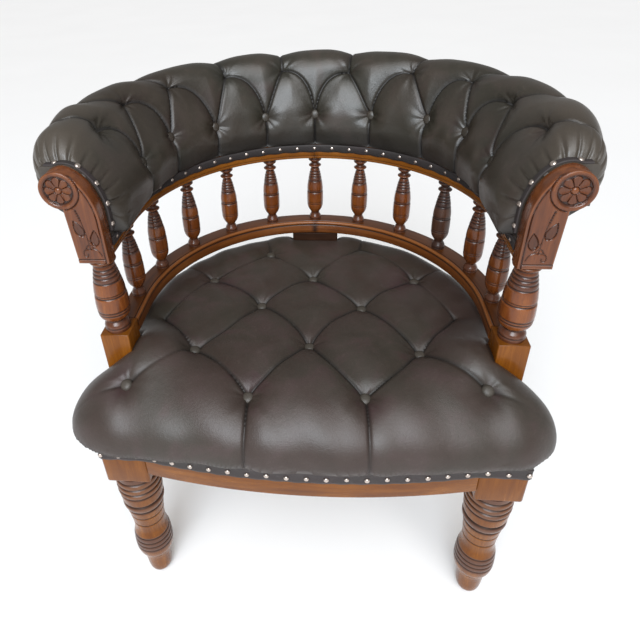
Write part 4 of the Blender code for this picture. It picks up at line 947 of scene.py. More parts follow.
def makeFacings():
    # rows crowd together towards the top of the scroll
    shares = 1 - (1 - np.linspace(0, 1, facing["rows"])) ** facing["crowding"]
    up = (facingTop - facing["topGap"]) * shares
    inner, outer = facingEdges(up)
    a = inner[:, None] + (outer - inner)[:, None] * np.linspace(0, 1, facing["columns"])
    depth, wax = carve(a, np.repeat(up[:, None], facing["columns"], axis=1))
    walls = np.array(facing["walls"]) * (facingBack - facingFront)
    drawIn = np.array([0, 0, 0, facing["drawIn"]])
    deep = np.broadcast_to(walls, (len(up), len(walls)))
    allA = np.concatenate([a, outer[:, None] - drawIn, (inner[:, None] + drawIn)[:, ::-1]], axis=1)
    allY = np.concatenate([depth, deep, deep[:, ::-1]], axis=1)
    allUp = np.broadcast_to(up[:, None], allA.shape)
    bare = np.full((len(up), 2 * len(walls)), facing["wallWax"])
    groove = np.concatenate([wax, bare], axis=1)
    stain = np.concatenate([np.full(wax.shape, facing["faceStain"]), bare * 0], axis=1)
    for name, side in sides:
        points = np.stack([side * (facingX + allA), facingFront + allY, upperBase + allUp], -1)
        layers = {"grain": np.stack([allUp + side, allA, allY], -1), "groove": groove, "stain": stain}
        sweptPiece("carved_arm_facing_" + name, points, layers, 48, "redWalnut", "red_wood",
                   "arm_facing_" + name)


makeFacings()
print("arm facings carved")

# buttoned leather: folds between buttons press into a full envelope
tufting = {"round": 2.0, "dimple": 0.0036, "dimpleReach": 0.013, "lip": 0.002, "lipFrom": 0.002,
           "lipFade": 0.006, "crevice": 0.002, "foldEnd": 0.004, "puckerFrom": 0.008, "puckerFade": 0.016,
           "creaseFrom": 0.013, "moundTo": 0.008}


def foldPath(start, end, deepStart, deepMiddle, deepEnd, width, sway=(0.0, 0.0)):
    # a fold bowed to one side, deepest at its ends
    share = np.linspace(0, 1, 8)[:, None]
    start, end, sway = np.array(start), np.array(end), np.array(sway)
    path = start + (end - start) * share + 4 * sway * share * (1 - share)
    bend = np.abs(2 * share[:, 0] - 1) ** 2
    ends = np.where(share[:, 0] < 0.5, deepStart, deepEnd)
    return path, deepMiddle + (ends - deepMiddle) * bend, width


def foldDepth(points, folds, look):
    # how far the leather is drawn in, the raised lip beside each fold and the line of the fold itself
    total, lip, line = np.zeros((3, len(points)))
    for path, depths, width in folds:
        nearest = np.full(len(points), 1.0)
        deep, side, beyond = np.zeros((3, len(points)))
        last = len(path) - 2
        for k in range(last + 1):
            way = path[k + 1] - path[k]
            length = np.hypot(*way)
            way = way / length
            rel = points - path[k]
            along = rel @ way
            share = np.clip(along / length, 0, 1)
            across = rel[:, 0] * way[1] - rel[:, 1] * way[0]
            past = np.maximum(-along if k == 0 else 0, (along - length) if k == last else 0)
            gap = np.hypot(across, along - share * length)
            closer = gap < nearest
            nearest = np.where(closer, gap, nearest)
            deep = np.where(closer, depths[k] + (depths[k + 1] - depths[k]) * share, deep)
            side = np.where(closer, across, side)
            beyond = np.where(closer, np.maximum(past, 0), beyond)
        total += (deep * np.clip(1 - nearest / width, 0, 1) ** tufting["round"]) ** 4
        inside = np.exp(-(beyond / tufting["foldEnd"]) ** 2)
        strength = np.clip(deep / look["deepest"], 0, 1)
        mark = np.exp(-(nearest / look["line"]) ** 2) * inside
        line = np.maximum(line, mark * np.clip(strength * 2.2, 0, 1))
        ramp = np.clip(side / tufting["lipFrom"], 0, 1) * np.exp(-np.maximum(side, 0) / tufting["lipFade"])
        lip = np.maximum(lip, ramp * inside * strength)
    return total ** 0.25, lip, line


def tufted(points, folds, buttons, look):
    # how far the leather sinks, with a dimple and fine rays at each button, and the line of each fold
    depth, lip, line = foldDepth(points, folds, look)
    dimple, pucker = np.zeros((2, len(points)))
    for number, (a, b) in enumerate(buttons):
        da, db = points[:, 0] - a, points[:, 1] - b
        gap = np.hypot(da, db)
        bearing = np.arctan2(db, da)
        dimple = np.maximum(dimple, tufting["dimple"] * np.exp(-(gap / tufting["dimpleReach"]) ** 1.4))
        rays = np.cos(bearing * 7 + number * 1.7) + 0.6 * np.cos(bearing * 11 + number * 2.9)
        fade = np.exp(-gap / tufting["puckerFade"]) * np.clip(gap / tufting["puckerFrom"], 0, 1)
        pucker += look["pucker"] * rays * fade
    return depth + dimple + line * tufting["crevice"] - lip * tufting["lip"] - pucker, line


# painted shade along each fold's line and where the leather is drawn in deepest
def creaseOf(line, sink):
    return line * 0.85 + np.clip(sink - tufting["creaseFrom"], 0, 1) * 60


def moundOf(sink):
    return np.clip(1 - sink / tufting["moundTo"], 0, 1)


def gridNormals(points, upRow, upColumn):
    # pointing up at the given place
    normal = unit(np.cross(np.gradient(points, axis=1), np.gradient(points, axis=0)))
    return -normal if normal[upRow, upColumn, 2] < 0 else normal


def buttonSpots(flat, buttons, points, normal):
    # place and way outward of the leather at each button
    spots = []
    for a, b in buttons:
        near = np.argmin((flat[:, 0] - a) ** 2 + (flat[:, 1] - b) ** 2)
        spots.append((points.reshape(-1, 3)[near], normal.reshape(-1, 3)[near]))
    return spots


seat = {
    "grid": 400, "centre": (0.0, -0.06), "top": 0.4665, "wide": 0.384, "foot": 0.34, "bottom": 0.3443,
    "topShare": 0.88, "footShare": 0.975, "tuckIn": 0.003,
    # how far the leather bulges past the frame at the front, left, right and back
    "bulges": (0.0365, 0.047, 0.039, 0.004), "corner": 0.056, "wingFrom": 0.13, "wingTo": 0.26,
    "frameBulge": 0.0016, "frameCorner": 0.006,
    # falls at the sides, front and back, and where they begin and end
    "shoulder": 0.048, "shoulderSpan": (0.04, 0.21), "sideFall": 0.009, "halfWidth": 0.3,
    "frontFall": 0.01, "frontSpan": (0.14, 0.27), "backFall": 0.005, "backSpan": (0.09, 0.2),
    "crownRound": 2.3, "underRound": 0.85, "fullTo": 0.0685, "closeFrom": 0.0035,
    "postMound": 0.021, "moundX": 0.222, "moundAhead": 0.011, "moundReach": 0.05,
    "roomGap": 0.0004, "roomLevels": (0.3, 0.56), "roomSide": 0.42, "roomBack": 0.36, "edgeSink": 0.0035,
    "edgeReach": 0.0045, "slack": 0.0014, "ripple": 0.0006,
    "deepest": 0.012, "line": 0.0023, "pucker": 0.0006,
    "buttons": {
        "a1": (-0.2395, -0.2045), "a2": (-0.076, -0.213), "a3": (0.0757, -0.208), "a4": (0.2298, -0.1965),
        "b1": (-0.1587, -0.1324), "b2": (0.0006, -0.1155), "b3": (0.1513, -0.1248),
        "c1": (-0.2246, -0.0611), "c2": (-0.0779, -0.0244), "c3": (0.0777, -0.026), "c4": (0.2149, -0.0451),
        "d1": (-0.1662, 0.0427), "d2": (0.0006, 0.0513), "d3": (0.1658, 0.0495),
        "e1": (-0.077, 0.123), "e2": (0.08, 0.144)},
    "hidden": ("c1", "c4", "e2"),
    # folds between pairs of buttons: depth at the ends, depth in the middle and width
    "folds": [("a2b1 a2b2 a3b2 a3b3 a4b3 b1c1 b2c2 b2c3 b3c3 b3c4", 0.011, 0.0044, 0.04),
              ("b1c2 c2d2 c3d2 c2d1 c3d3", 0.0105, 0.0036, 0.038),
              ("a1b1 c1d1 c4d3 d1e1 d2e1 d2e2 d3e2", 0.0062, 0.0012, 0.036)],
    # folds from a button over the edge: depth at the start, middle and end, width and sway
    "frontFold": (0.011, 0.0032, 0.0012, 0.028, (0.002, 0.0)), "sideFold": (0.006, 0.0006, 0.0001, 0.032),
    "overFront": {"a2": (-0.081, -0.33), "a3": (0.079, -0.33)},
    "overSides": {"e1": (-0.105, 0.26), "e2": (0.105, 0.26), "d1": (-0.29, 0.12), "d3": (0.29, 0.12),
                  "a1": (-0.33, -0.225), "a4": (0.32, -0.22)},
}


def outlineNormals(line):
    ahead = np.roll(line, -1, axis=0) - np.roll(line, 1, axis=0)
    return unit(np.stack([ahead[:, 1], -ahead[:, 0]], -1))


def seatOutline(bulges, corner):
    # frame's outer line pushed outward, full before the arm posts and close behind them
    right = [(x, frontLine(x)) for x in np.linspace(0, min(legInner, legOuter - corner), 40)]
    for angle in np.linspace(-math.pi / 2, 0, 24):
        across = legOuter - corner + corner * math.cos(angle)
        right.append((across, legFront + corner * (1 + math.sin(angle))))
    for share in np.linspace(0, 1, 16)[1:]:
        right.append((legOuter + (seatRadius - legOuter) * share, legBack + share * (bowCentre - legBack)))
    for angle in np.linspace(0, math.pi / 2, 60)[1:]:
        right.append((seatRadius * math.cos(angle), bowCentre + seatRadius * math.sin(angle)))
    right = np.array(right, float)
    line = np.vstack([right, right[1:-1][::-1] * [-1, 1]])
    x, y = line.T
    atFront, atLeft, atRight, atBack = bulges
    fade = smoothStep(y, postY - seat["fullTo"], postY - seat["closeFrom"])
    wing = np.where(x < 0, atLeft, atRight)
    bulge = atFront + (wing - atFront) * smoothStep(np.abs(x), seat["wingFrom"], seat["wingTo"])
    return line + outlineNormals(line) * (bulge + (atBack - bulge) * fade)[:, None]


def seatRooms():
    # boxes round the arm posts and the support block, which stand in the upholstery
    gap, (base, top) = seat["roomGap"], seat["roomLevels"]
    half = postHalf + gap
    rooms = []
    for _, side in sides:
        near, far = sorted((side * (postX - half), side * seat["roomSide"]))
        rooms.append(((near, postY - half, base), (far, postY + half, top)))
    low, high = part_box("back_support_block")
    rooms.append(((low.x - gap, low.y - gap, base), (high.x + gap, seat["roomBack"], top)))
    return rooms


def cutAway(piece, boxes):
    room = joinPieces([boxPiece("room", low, high) for low, high in boxes], "room")
    pick(piece)
    cut = piece.modifiers.new("room", "BOOLEAN")
    cut.operation = "DIFFERENCE"
    cut.solver = "EXACT"
    cut.object = room
    bpy.ops.object.modifier_apply(modifier="room")
    bpy.data.objects.remove(room)


def seatEnvelope():
    # full shape before the folds: top, then the turn under to the band, then the flat bottom's edge
    span = np.linspace(-1, 1, seat["grid"])
    p, q = np.meshgrid(span, span)
    across, along = p * np.sqrt(1 - q * q / 2), q * np.sqrt(1 - p * p / 2)
    reach, angle = np.hypot(across, along), np.arctan2(along, across)
    centre = seat["centre"]
    ring = np.linspace(-math.pi, math.pi, 1441)
    fullRing = softened(radiusAround(seatOutline(seat["bulges"], seat["corner"]), centre, ring))
    fullAt = np.interp(angle, ring, fullRing)
    frameAt = radiusAround(seatOutline((seat["frameBulge"],) * 4, seat["frameCorner"]), centre, angle)
    topShare, footShare = seat["topShare"], seat["footShare"]
    share = np.clip(reach / topShare, 0, 1)
    under = np.clip((reach - topShare) / (footShare - topShare), 0, 1)
    inside = np.clip((reach - footShare) / (1 - footShare), 0, 1)
    flat = share * fullAt - (fullAt - frameAt) * under ** seat["underRound"] - inside * seat["tuckIn"]
    x = centre[0] + flat * np.cos(angle)
    y = centre[1] + flat * np.sin(angle)
    # distance in from the edge, in parts that fit in memory
    edge = np.stack([centre[0] + fullRing * np.cos(ring), centre[1] + fullRing * np.sin(ring)], -1)[:-1]
    flatXY = np.stack([x.ravel(), y.ravel()], -1)
    parts = [flatXY[start:start + 4000] for start in range(0, len(flatXY), 4000)]
    gaps = [np.sqrt(((part[:, None] - edge) ** 2).sum(-1)).min(1) for part in parts]
    edgeGap = np.concatenate(gaps).reshape(x.shape)
    # height falls away near the edge, over a wide shoulder in front and a narrow one behind
    shoulder = seat["shoulder"] * (1 + smoothStep(-y, *seat["shoulderSpan"]))
    rise = np.clip(edgeGap / shoulder, 0, 1)
    crown = seat["top"] - seat["sideFall"] * np.clip((x / seat["halfWidth"]) ** 2, 0, 1)
    front, back = smoothStep(-y, *seat["frontSpan"]), smoothStep(y, *seat["backSpan"])
    crown -= seat["frontFall"] * front + seat["backFall"] * back
    fromPost = (np.abs(x) - seat["moundX"]) ** 2 + (y - postY + seat["moundAhead"]) ** 2
    crown += seat["postMound"] * np.exp(-fromPost / seat["moundReach"] ** 2)
    wide, foot = seat["wide"], seat["foot"]
    z = wide + (crown - wide) * np.sqrt(1 - (1 - rise) ** seat["crownRound"])
    z = np.where(under > 0, wide - (wide - foot) * under, z)
    z = np.where(inside > 0, foot + (seat["bottom"] - foot) * inside, z)
    return np.stack([x, y, z], -1), flatXY, under


def seatFolds():
    buttons = {key: np.array(spot) for key, spot in seat["buttons"].items()}
    folds = []
    for pairs, deepEnd, deepMiddle, wide in seat["folds"]:
        for number, pair in enumerate(pairs.split()):
            first, second = buttons[pair[:2]], buttons[pair[2:]]
            sway = (second - first)[::-1] * [1, -1] * 0.05 * math.sin(number * 2.3 + 1)
            folds.append(foldPath(first, second, deepEnd, deepMiddle, deepEnd, wide, sway))
    for key, end in seat["overFront"].items():
        folds.append(foldPath(buttons[key], end, *seat["frontFold"]))
    for key, end in seat["overSides"].items():
        folds.append(foldPath(buttons[key], end, *seat["sideFold"]))
    return folds


def makeSeat():
    points, flatXY, under = seatEnvelope()
    x, y = points[..., 0], points[..., 1]
    normal = gridNormals(points, seat["grid"] // 2, seat["grid"] // 2)
    seen = [spot for key, spot in seat["buttons"].items() if key not in seat["hidden"]]
    sink, line = (array.reshape(x.shape) for array in tufted(flatXY, seatFolds(), seen, seat))
    sink = sink * (1 - smoothStep(under, 0.3, 1.0))
    # edge tucked down round each block
    tuck = np.zeros(x.shape)
    for low, high in seatRooms():
        away = np.hypot(np.maximum(np.maximum(low[0] - x, x - high[0]), 0),
                        np.maximum(np.maximum(low[1] - y, y - high[1]), 0))
        tuck = np.maximum(tuck, np.exp(-(away / seat["edgeReach"]) ** 1.5))
    slack = seat["slack"] * np.sin(x * 47 + 1.3) * np.sin(y * 39 + 0.6)
    slack += seat["ripple"] * np.sin(x * 96 + y * 61)
    move = sink + (slack + tuck * seat["edgeSink"]) * (1 - under)
    points = points - normal * move[..., None]
    # painted shade in the folds and where the edge tucks down round the blocks
    crease = np.clip(creaseOf(line, sink) + tuck * 0.5, 0, 1)
    piece = gridPiece("buttoned_seat", points, {"crease": crease, "mound": moundOf(sink) * (1 - under)})
    tidyMesh(piece, True)
    cutAway(piece, seatRooms())
    tidyMesh(piece)
    smooth(piece, 60)
    paint(piece, "seatLeather")
    declare(piece, "seat_leather", "seat_cushion")
    return buttonSpots(flatXY, seen, points, normal)


seatSpots = makeSeat()
print("seat buttoned")

roll = {
    "height": 0.139, "armDrop": 0.005, "width": 0.09, "armWidth": 0.085, "depth": 0.106, "inset": 0.0025,
    "outerLip": 0.052, "armBelly": 0.017, "bellyFrom": 0.2, "bellyTo": 0.38, "pivot": 0.0225,
    "endTaper": 0.83, "endLength": 0.1, "endRound": 0.044, "landing": 0.0095, "across": 200, "runs": 600,
    # offset and height of the middle that each end closes on
    "middle": (0.025, 0.056), "overFacing": 0.0008, "overCrest": 0.0035,
    "crestOutset": 0.04, "crestHalf": 0.0103, "crestLow": 0.0637, "crestHigh": 0.0893, "foot": -0.0043,
    "crestShort": 0.006, "crestEase": 0.002, "stayBelow": 0.03,
    # inner face from the foot up: offset, height and share of the arm's belly, then bearings over the top
    "face": [(-0.0162, 0.0008, 0), (-0.0182, 0.001, 0.8), (-0.0208, 0.011, 1), (-0.024, 0.034, 1),
             (-0.0204, 0.057, 0.8), (-0.01, 0.082, 0.5)],
    "bearings": (148, 125, 100, 75, 50, 25, 0, -20, -40),
    # buttons and upper meeting points of the folds: run round the back and length up the leather
    "lower": [(-0.351, 0.066), (-0.262, 0.066), (-0.174, 0.053), (-0.084, 0.0545), (0.0008, 0.0545),
              (0.0957, 0.0565), (0.193, 0.067), (0.271, 0.073), (0.363, 0.07)],
    "upper": [(-0.389, 0.134), (-0.313, 0.141), (-0.2304, 0.1365), (-0.1374, 0.132), (-0.0497, 0.1305),
              (0.0519, 0.1245), (0.147, 0.134), (0.24, 0.142), (0.3213, 0.135), (0.4143, 0.14)],
    # where the pleat above each upper point crosses the top
    "over": [-0.412, -0.357, -0.264, -0.143, -0.049, 0.052, 0.158, 0.272, 0.362, 0.438],
    # depth of the folds at the start, middle and end, and width
    "footFold": (0.0105, 0.0036, 0.0014, 0.022), "diamond": (0.0105, 0.0054, 0.0085, 0.036),
    "pleat": (0.0085, 0.006, 0.0058, 0.036), "lipPleat": (0.0058, 0.0046, 0.0022, 0.036),
    "footDrop": 0.012, "topPast": 0.012, "lipPast": 0.01, "fan": 1.02,
    "deepest": 0.011, "line": 0.0019, "pucker": 0.0009, "slack": 0.001, "gather": 0.0034, "gatherReach": 0.04,
    "endFade": 0.05,
}
crestNear, crestFar = roll["crestOutset"] - roll["crestHalf"], roll["crestOutset"] + roll["crestHalf"]


def endReach(ways):
    # how far the leather's end stands from the middle: just over the facing's edge and the crest rail's end
    up = np.linspace(0, facingTop, 200)
    inner, outer = facingEdges(up)
    edge = np.stack([np.concatenate([inner, outer[::-1]]), np.concatenate([up, up[::-1]])], -1)
    edge += [facingX - bowRadius, upperBase - upperTop]
    middle = np.array(roll["middle"])
    around = np.linspace(-math.pi, math.pi, 721)
    reach = radiusAround(edge, middle, around) + roll["overFacing"]
    right = (crestFar + roll["overCrest"] - middle[0]) / np.maximum(np.cos(around), 1e-6)
    above = (roll["crestHigh"] + roll["overCrest"] - middle[1]) / np.maximum(np.sin(around), 1e-6)
    over = (around > -0.5) & (around < 1.6)
    reach = softened(np.where(over, np.maximum(reach, np.minimum(right, above)), reach))
    return np.interp(np.arctan2(ways[:, 1], ways[:, 0]), around, reach)


def rollOutline(run):
    # from the foot on the bow up the inner face and over to the outer lip
    share = abs(run) / armEnd
    width = roll["width"] + (roll["armWidth"] - roll["width"]) * share ** 2
    across = width / 2 - roll["inset"]
    centre = roll["height"] - roll["armDrop"] * share - roll["depth"] / 2
    belly = roll["armBelly"] * smoothStep(abs(run), roll["bellyFrom"], roll["bellyTo"])
    keys = [(offset - belly * full, up) for offset, up, full in roll["face"]]
    for degrees in roll["bearings"]:
        a = math.radians(degrees)
        keys.append((across + width / 2 * math.cos(a), centre + roll["depth"] / 2 * math.sin(a)))
    line = curveThrough(keys, roll["across"])
    left = armEnd - abs(run)
    taper = 1 - (1 - roll["endTaper"]) * max(0, 1 - left / roll["endLength"]) ** 2
    pivot = np.array([roll["pivot"], 0.0])
    keep = smoothStep(line[:, 1], 0.0, roll["stayBelow"])[:, None]
    line = line * (1 - keep) + (pivot + (line - pivot) * taper) * keep
    if left < roll["endRound"]:
        # the end rounds down to a landing behind the carved facing, and its foot stays full up to there
        rel = line - roll["middle"]
        gap = np.linalg.norm(rel, axis=1)
        ways = rel / gap[:, None]
        goal = np.minimum(endReach(ways), gap)
        reach = (roll["endRound"] - roll["landing"]) * (0.12 + 0.88 * smoothStep(line[:, 1], 0.002, 0.045))
        share = np.clip((left - roll["landing"]) / reach, 0, 1)
        pull = 1 - np.sqrt(np.maximum(0, 1 - (1 - share) ** 2))
        line = roll["middle"] + ways * (gap + (goal - gap) * pull)[:, None]
    return line


def rollFolds(top, end):
    # lengths up the leather of the top and the outer lip
    lower, upper = roll["lower"], roll["upper"]
    folds = []
    for number, spot in enumerate(lower):
        folds.append(foldPath(spot, (spot[0] * roll["fan"], -roll["footDrop"]), *roll["footFold"]))
        for other in upper[number:number + 2]:
            inward = abs(spot[0]) < abs(other[0])
            sway = (0.009 * np.sign(spot[0] - other[0]), 0.015) if inward else (0.0, 0.001)
            folds.append(foldPath(spot, other, *roll["diamond"], sway))
    for spot, far in zip(upper, roll["over"]):
        crossing = (far, top + roll["topPast"])
        folds.append(foldPath(spot, crossing, *roll["pleat"]))
        folds.append(foldPath(crossing, (far * roll["fan"], end + roll["lipPast"]), *roll["lipPleat"]))
    return folds


def makeRoll():
    runs = np.linspace(-armEnd, armEnd, roll["runs"])
    sections = np.array([rollOutline(run) for run in runs]) + [0, upperTop]
    middle = rollOutline(0.0)
    length = lengthAlong(middle)
    crestRow = np.argmax(middle[:, 1])
    points = bowSweep(runs, sections)
    shape = points.shape[:2]
    normal = gridNormals(points, roll["runs"] // 2, crestRow)
    u, v = (array.ravel() for array in np.meshgrid(runs, length, indexing="ij"))
    flat = np.stack([u, v], -1)
    folds = rollFolds(length[crestRow], length[-1])
    sink, line = tufted(flat, folds, roll["lower"] + roll["upper"], roll)
    # folds fade at each arm's end, where the leather is gathered instead
    left = armEnd - np.abs(u)
    free = smoothStep(left, 0.0, roll["endFade"])
    gather = (0.5 + 0.5 * np.cos(v * 330 + 1.4 * np.sin(v * 63))) ** 5
    gather *= np.clip(1 - left / roll["gatherReach"], 0, 1) * smoothStep(left, 0.004, 0.013)
    gather *= smoothStep(v, 0.012, 0.05)
    slack = roll["slack"] * np.sin(u * 61 + 0.7) * np.sin(v * 55 + 2.0)
    sink = (sink + slack) * free + gather * roll["gather"]
    sink = sink * (0.35 + 0.65 * smoothStep(v, 0.0, 0.006))
    points = points - normal * sink.reshape(shape)[..., None]
    # painted shade along the folds and over the lowest part of the inner face, down to the foot
    crease = np.clip(creaseOf(line * free, sink) + 0.7 * (1 - smoothStep(v, 0.0, 0.046)), 0, 1)
    # painted top light: the arms' tops are lifted past one, which lightens them in the leather
    mound = moundOf(sink) + 0.9 * smoothStep(np.abs(u), 0.27, 0.4) * smoothStep(v, 0.1, 0.15)
    # inside faces, clear of the crest rail and its stays, with last rows that close over the rail's ends
    inside = np.array([(crestFar, roll["outerLip"] - 0.0005), (crestFar, roll["crestHigh"]),
                       (crestNear, roll["crestHigh"]), (crestNear, roll["crestLow"]), (roll["foot"], 0.0004)])
    inside[:, 1] += upperTop
    closings = np.repeat(inside[None], len(runs), axis=0)
    for row in (0, 1, -2, -1):
        first, last = sections[row, -1] + [-0.004, 0.0], inside[-1]
        closings[row] = first + (last - first) * np.linspace(0, 1, len(inside))[:, None]
    everything = np.concatenate([points, bowSweep(runs, closings)], axis=1)
    # each end is closed on its middle, behind the carved facing
    core = np.array([roll["middle"]]) + [0, upperTop]
    ends = np.repeat(bowSweep(runs[[0, -1]], core), everything.shape[1], axis=1)
    everything = np.concatenate([ends[:1], everything, ends[1:]])
    layers = {}
    for key, values in (("crease", crease), ("mound", mound)):
        values = np.pad(values.reshape(shape), ((0, 0), (0, len(inside))))
        layers[key] = np.pad(values, ((1, 1), (0, 0)), mode="edge")
    piece = sweptPiece("buttoned_back_roll", everything, layers, 75, "backLeather", "back_leather",
                       "back_cushion")
    return buttonSpots(flat, roll["lower"], points, normal)


def makeCrestRail():
    reach = armEnd - roll["crestShort"]
    runs = np.linspace(-reach, reach, 120)
    low, high = upperTop + roll["crestLow"] + clear, upperTop + roll["crestHigh"] - clear
    near, far, ease = crestNear + clear, crestFar - clear, roll["crestEase"]
    section = np.array([(near, low), (far - ease, low), (far, low + ease), (far, high - ease),
                        (far - ease, high), (near, high)])
    sweptPiece("bent_crest_rail", bowSweep(runs, section), {}, 40, "plainBeech", "frame_wood", "crest_rail")


rollSpots = makeRoll()
makeCrestRail()
print("back roll buttoned")

button = {"radius": 0.0088, "height": 0.0052, "sink": 0.0038}


def makeButtons(name, spots, finishName, slot):
    # a covered button: domed cap over a tight rolled edge
    bpy.ops.mesh.primitive_uv_sphere_add(segments=28, ring_count=16, radius=1, location=(0, 0, 0))
    cap = named("coveredButton")
    points = meshPoints(cap)
    flat = np.hypot(points[:, 0], points[:, 1])
    rise = np.where(points[:, 2] > 0, np.abs(points[:, 2]) ** 1.25, -0.8 * np.abs(points[:, 2]))
    fuller = np.where(flat > 1e-6, np.maximum(flat, 1e-6) ** -0.25, 0)
    points[:, :2] *= fuller[:, None] * button["radius"]
    points[:, 2] = rise * button["height"]
    setPoints(cap, points)
    # painted shade in a ring round the rolled edge
    store(cap, crease=np.exp(-((flat - 0.97) / 0.06) ** 2) * 0.5, mound=np.clip(rise, 0, 1))
    smooth(cap, 80)
    lift = Matrix.Translation((0, 0, button["sink"]))
    setOut(cap, name, spots, finishName, slot, lambda number: lift @ Matrix.Rotation(number, 4, "Z"))


makeButtons("seat_buttons", seatSpots, "buttonLeather", "seat_leather")
makeButtons("back_buttons", rollSpots, "backLeather", "back_leather")
print("buttons covered")

# nailing bands and nails
band = {"thick": 0.0018, "seatLow": 0.321, "seatOver": 0.0012, "backHeight": 0.013, "wave": 0.0006,
        "backWaves": 205, "seatWaves": 231, "edge": 0.0012, "bead": 0.0032, "beadRise": 0.0006,
        # how far each point of the section follows the wavy lower edge
        "waveShare": [1, 1, 1, 0.6, 0, 0, 0, 0]}


def bandSection(inner, outer, low, high):
    # a strip with soft edges and a raised bead along each side
    soft, face = outer * 0.6 + inner * 0.4, outer - band["beadRise"]
    edge, bead = band["edge"], band["bead"]
    return np.array([(inner, low), (soft, low), (outer, low + edge), (face, low + bead), (face, high - bead),
                     (outer, high - edge), (soft, high), (inner, high)])


def makeBand(name, points, along, waves, crease, bead, node, caps):
    points[..., 2] += (band["wave"] * np.sin(along * waves))[:, None] * band["waveShare"]
    if not caps:
        points = np.concatenate([points, points[:1]])
    plain = np.zeros(points.shape[:2])
    layers = {"crease": plain + crease, "mound": plain + bead}
    sweptPiece(name, points, layers, 60, "bandLeather", "banding", node, caps=caps)


def makeBackBand():
    runs = np.linspace(-armEnd, armEnd, 260)
    face = -bowHalf - clear
    section = bandSection(face, face - band["thick"], upperTop - band["backHeight"], upperTop)
    # painted shade, darkest at the edges against the wood; the whole back band is also darkened
    makeBand("stitched_back_band", bowSweep(runs, section), runs, band["backWaves"],
             [0.9, 0.7, 0.45, 0.65, 0.65, 0.45, 0.7, 0.9], 0, "back_nailing_band", True)


def framePath(count, offset):
    # evenly spaced places round the seat frame, the ways outward and the length so far
    line = seatOutline((0, 0, 0, 0), 0.0015)
    ring = np.hstack([line, outlineNormals(line)])
    ring = np.vstack([ring, ring[:1]])
    length = lengthAlong(ring[:, :2])
    want = np.linspace(0, length[-1], count, endpoint=False)
    path = valuesAt(want, length, ring)
    out = unit(path[:, 2:])
    return path[:, :2] + out * offset, out, want, length[-1]


def makeSeatBand():
    place, out, want, _ = framePath(640, clear)
    section = bandSection(0.0, band["thick"], band["seatLow"], railTop + band["seatOver"])
    # painted shade at the edges against the frame
    makeBand("stitched_seat_band", sweep(place, out, section), want, band["seatWaves"],
             [0.6, 0.3, 0, 0.25, 0.25, 0, 0.3, 0.6], [0, 0.6, 1, 0.5, 0, 0, 0, 0], "seat_nailing_band", False)


makeBackBand()
makeSeatBand()
print("bands stitched")

nail = {"radius": 0.0037, "height": 0.0024, "spacing": 0.0268, "bowSpacing": 0.0312, "bowEach": 15,
        "backSize": 0.88, "outsideSize": 0.95, "frontDepth": 0.004, "stray": 0.0008, "bowStray": 0.0006,
        "sunk": 0.0004, "bowSunk": 0.0006}


def makeNails(name, spots, size=1.0):
    # a ball cut just below its middle and flattened to a dome
    bpy.ops.mesh.primitive_uv_sphere_add(segments=14, ring_count=8, radius=1, location=(0, 0, 0))
    head = named("nailHead")
    editMesh(head, bisect={"plane_co": (0, 0, -0.05), "plane_no": (0, 0, 1), "use_fill": True,
                           "clear_inner": True})
    points = meshPoints(head)
    setPoints(head, points * [nail["radius"], nail["radius"], nail["height"]])
    store(head, groove=np.clip((np.hypot(points[:, 0], points[:, 1]) - 0.86) * 6, 0, 1))
    smooth(head, 60)
    setOut(head, name, spots, "nailMetal", "nail_metal",
           lambda number: Matrix.Scale(size * (1 + 0.06 * math.sin(number * 2.4)), 4))


def makeBowNails(name, size, offset, height, lean, stray=0.0):
    # a row round the upper bow, offset outward from its centre line
    spots = []
    for run in np.arange(-nail["bowEach"], nail["bowEach"] + 1) * nail["bowSpacing"]:
        point, outward = bowStation(run)
        x, y = point + outward * offset
        level = upperTop + height + stray * math.sin(run * 90)
        spots.append(((x, y, level), (*(outward * lean[0]), lean[1])))
    makeNails(name, spots, size)


def makeBandNails():
    place, out, _, total = framePath(4000, clear + band["thick"] - nail["sunk"])
    count = int(round(total / nail["spacing"]))
    level = (band["seatLow"] + railTop) / 2
    rows = {"front": [], "side": []}
    for i in range(count):
        spot = int(i * len(place) / count)
        key = "front" if place[spot, 1] < legFront + nail["frontDepth"] else "side"
        rows[key].append(((*place[spot], level + nail["stray"] * math.sin(i * 3.7)), (*out[spot], 0.05)))
    for key, spots in rows.items():
        makeNails(f"seat_{key}_nails", spots)
    inward = bowHalf + clear + band["thick"] - nail["bowSunk"]
    makeBowNails("back_nails", nail["backSize"], -inward, -band["backHeight"] / 2, (-1, 0), nail["bowStray"])


makeBandNails()
print("nails driven")

trim = {"from": 228, "to": 48, "long": 0.13, "footLevel": 0.0006, "firstNail": 0.007, "nailStep": 0.0272,
        "nails": 5, "nailOut": 0.0024, "nailBack": 0.0046,
        # offset out from the leather and distance behind the facing
        "section": [(0.0003, 0.0004), (0.0016, 0.0004), (0.0026, 0.0014), (0.0022, 0.003), (0.0022, 0.0062),
                    (0.0026, 0.0078), (0.0016, 0.009), (0.0003, 0.009)]}


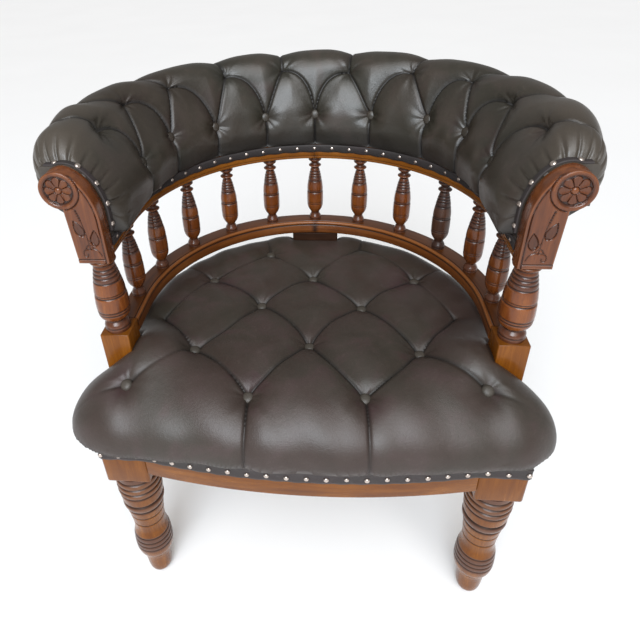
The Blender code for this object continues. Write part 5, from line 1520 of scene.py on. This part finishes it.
def makeArmTrim():
    # a nailed strip on the landing where the leather meets the carved facing
    angles = np.radians(np.linspace(trim["from"], trim["to"], 140))
    ways = np.stack([np.cos(angles), np.sin(angles)], -1)
    line = np.array(roll["middle"]) + ways * endReach(ways)[:, None]
    line = line[line[:, 1] > trim["footLevel"]]
    length = lengthAlong(line)
    line = line[length < trim["long"]]
    ahead = np.gradient(line, axis=0)
    normal = unit(np.stack([-ahead[:, 1], ahead[:, 0]], -1))
    section = np.array(trim["section"])
    flat = line[:, None, :] + normal[:, None, :] * section[None, :, :1]
    plain = np.zeros(flat.shape[:2])
    for name, side in sides:
        points = np.stack([side * (bowRadius + flat[..., 0]), plain + facingBack + section[:, 1],
                           upperTop + flat[..., 1]], -1)
        # painted shade: the whole strip is darkened towards the fold colour
        layers = {"crease": plain + 0.35, "mound": plain}
        sweptPiece("arm_end_strip_" + name, points, layers, 60, "bandLeather", "banding")
        spots = []
        for number in range(trim["nails"]):
            i = np.argmin(np.abs(length[:len(line)] - trim["firstNail"] - number * trim["nailStep"]))
            x, z = line[i] + normal[i] * trim["nailOut"]
            spots.append(((side * (bowRadius + x), facingBack + trim["nailBack"], upperTop + z),
                          (side * normal[i, 0], -0.2, normal[i, 1])))
        makeNails("arm_end_nails_" + name, spots)


makeArmTrim()

cover = {"foot": 0.0132, "head": 0.0475, "high": 0.0635, "thick": 0.0022, "sag": 0.003, "bay": 0.1602,
         "clear": 0.0006, "fuller": 1.06, "nailOut": 0.003, "nailHeight": 0.0055, "nailLean": (0.064, -0.034)}


def makeOutsideCover():
    # leather drawn tight over the stays from the lip of the roll down to the bow
    runs = np.linspace(-armEnd, armEnd, 240)
    shares = np.linspace(0, 1, 14)
    foot, head = cover["foot"], cover["head"]
    hollow = cover["sag"] * (0.55 + 0.45 * np.cos(runs * 2 * math.pi / cover["bay"]))[:, None]
    offset = foot + (head - foot) * shares - hollow * np.sin(math.pi * shares) * 0.5
    level = upperTop + cover["clear"] + (cover["high"] - 2 * cover["clear"]) * shares
    rear = np.stack([offset, np.broadcast_to(level, offset.shape)], -1)
    points = bowSweep(runs, np.concatenate([rear + [cover["thick"], 0], rear[:, ::-1]], axis=1))
    plain = np.zeros(points.shape[:2])
    layers = {"crease": plain, "mound": plain + 0.3}
    piece = sweptPiece("outside_back_leather", points, layers, 60, "backLeather", "back_leather",
                       "outside_back_cover")
    width = 2 * armEnd * cover["fuller"]
    slope = Vector(cover["nailLean"]).normalized()
    makeBowNails("outside_back_nails", nail["outsideSize"], foot + cover["thick"] + cover["nailOut"],
                 cover["nailHeight"], slope)


makeOutsideCover()
print("trim and outside leather set")

# inner frame and seat foundation keep their solids
stays = [f"back_upright_{number}" for number in range(1, 7)]
pairs = [f"{part}_{name}" for part in ("bow_dowel", "corner_brace") for name, _ in sides]
for name in stays + pairs:
    paint(nodes[name], "plainBeech")
paint(nodes["seat_webbing"], "juteWebbing")
paint(nodes["seat_hessian"], "hessian")
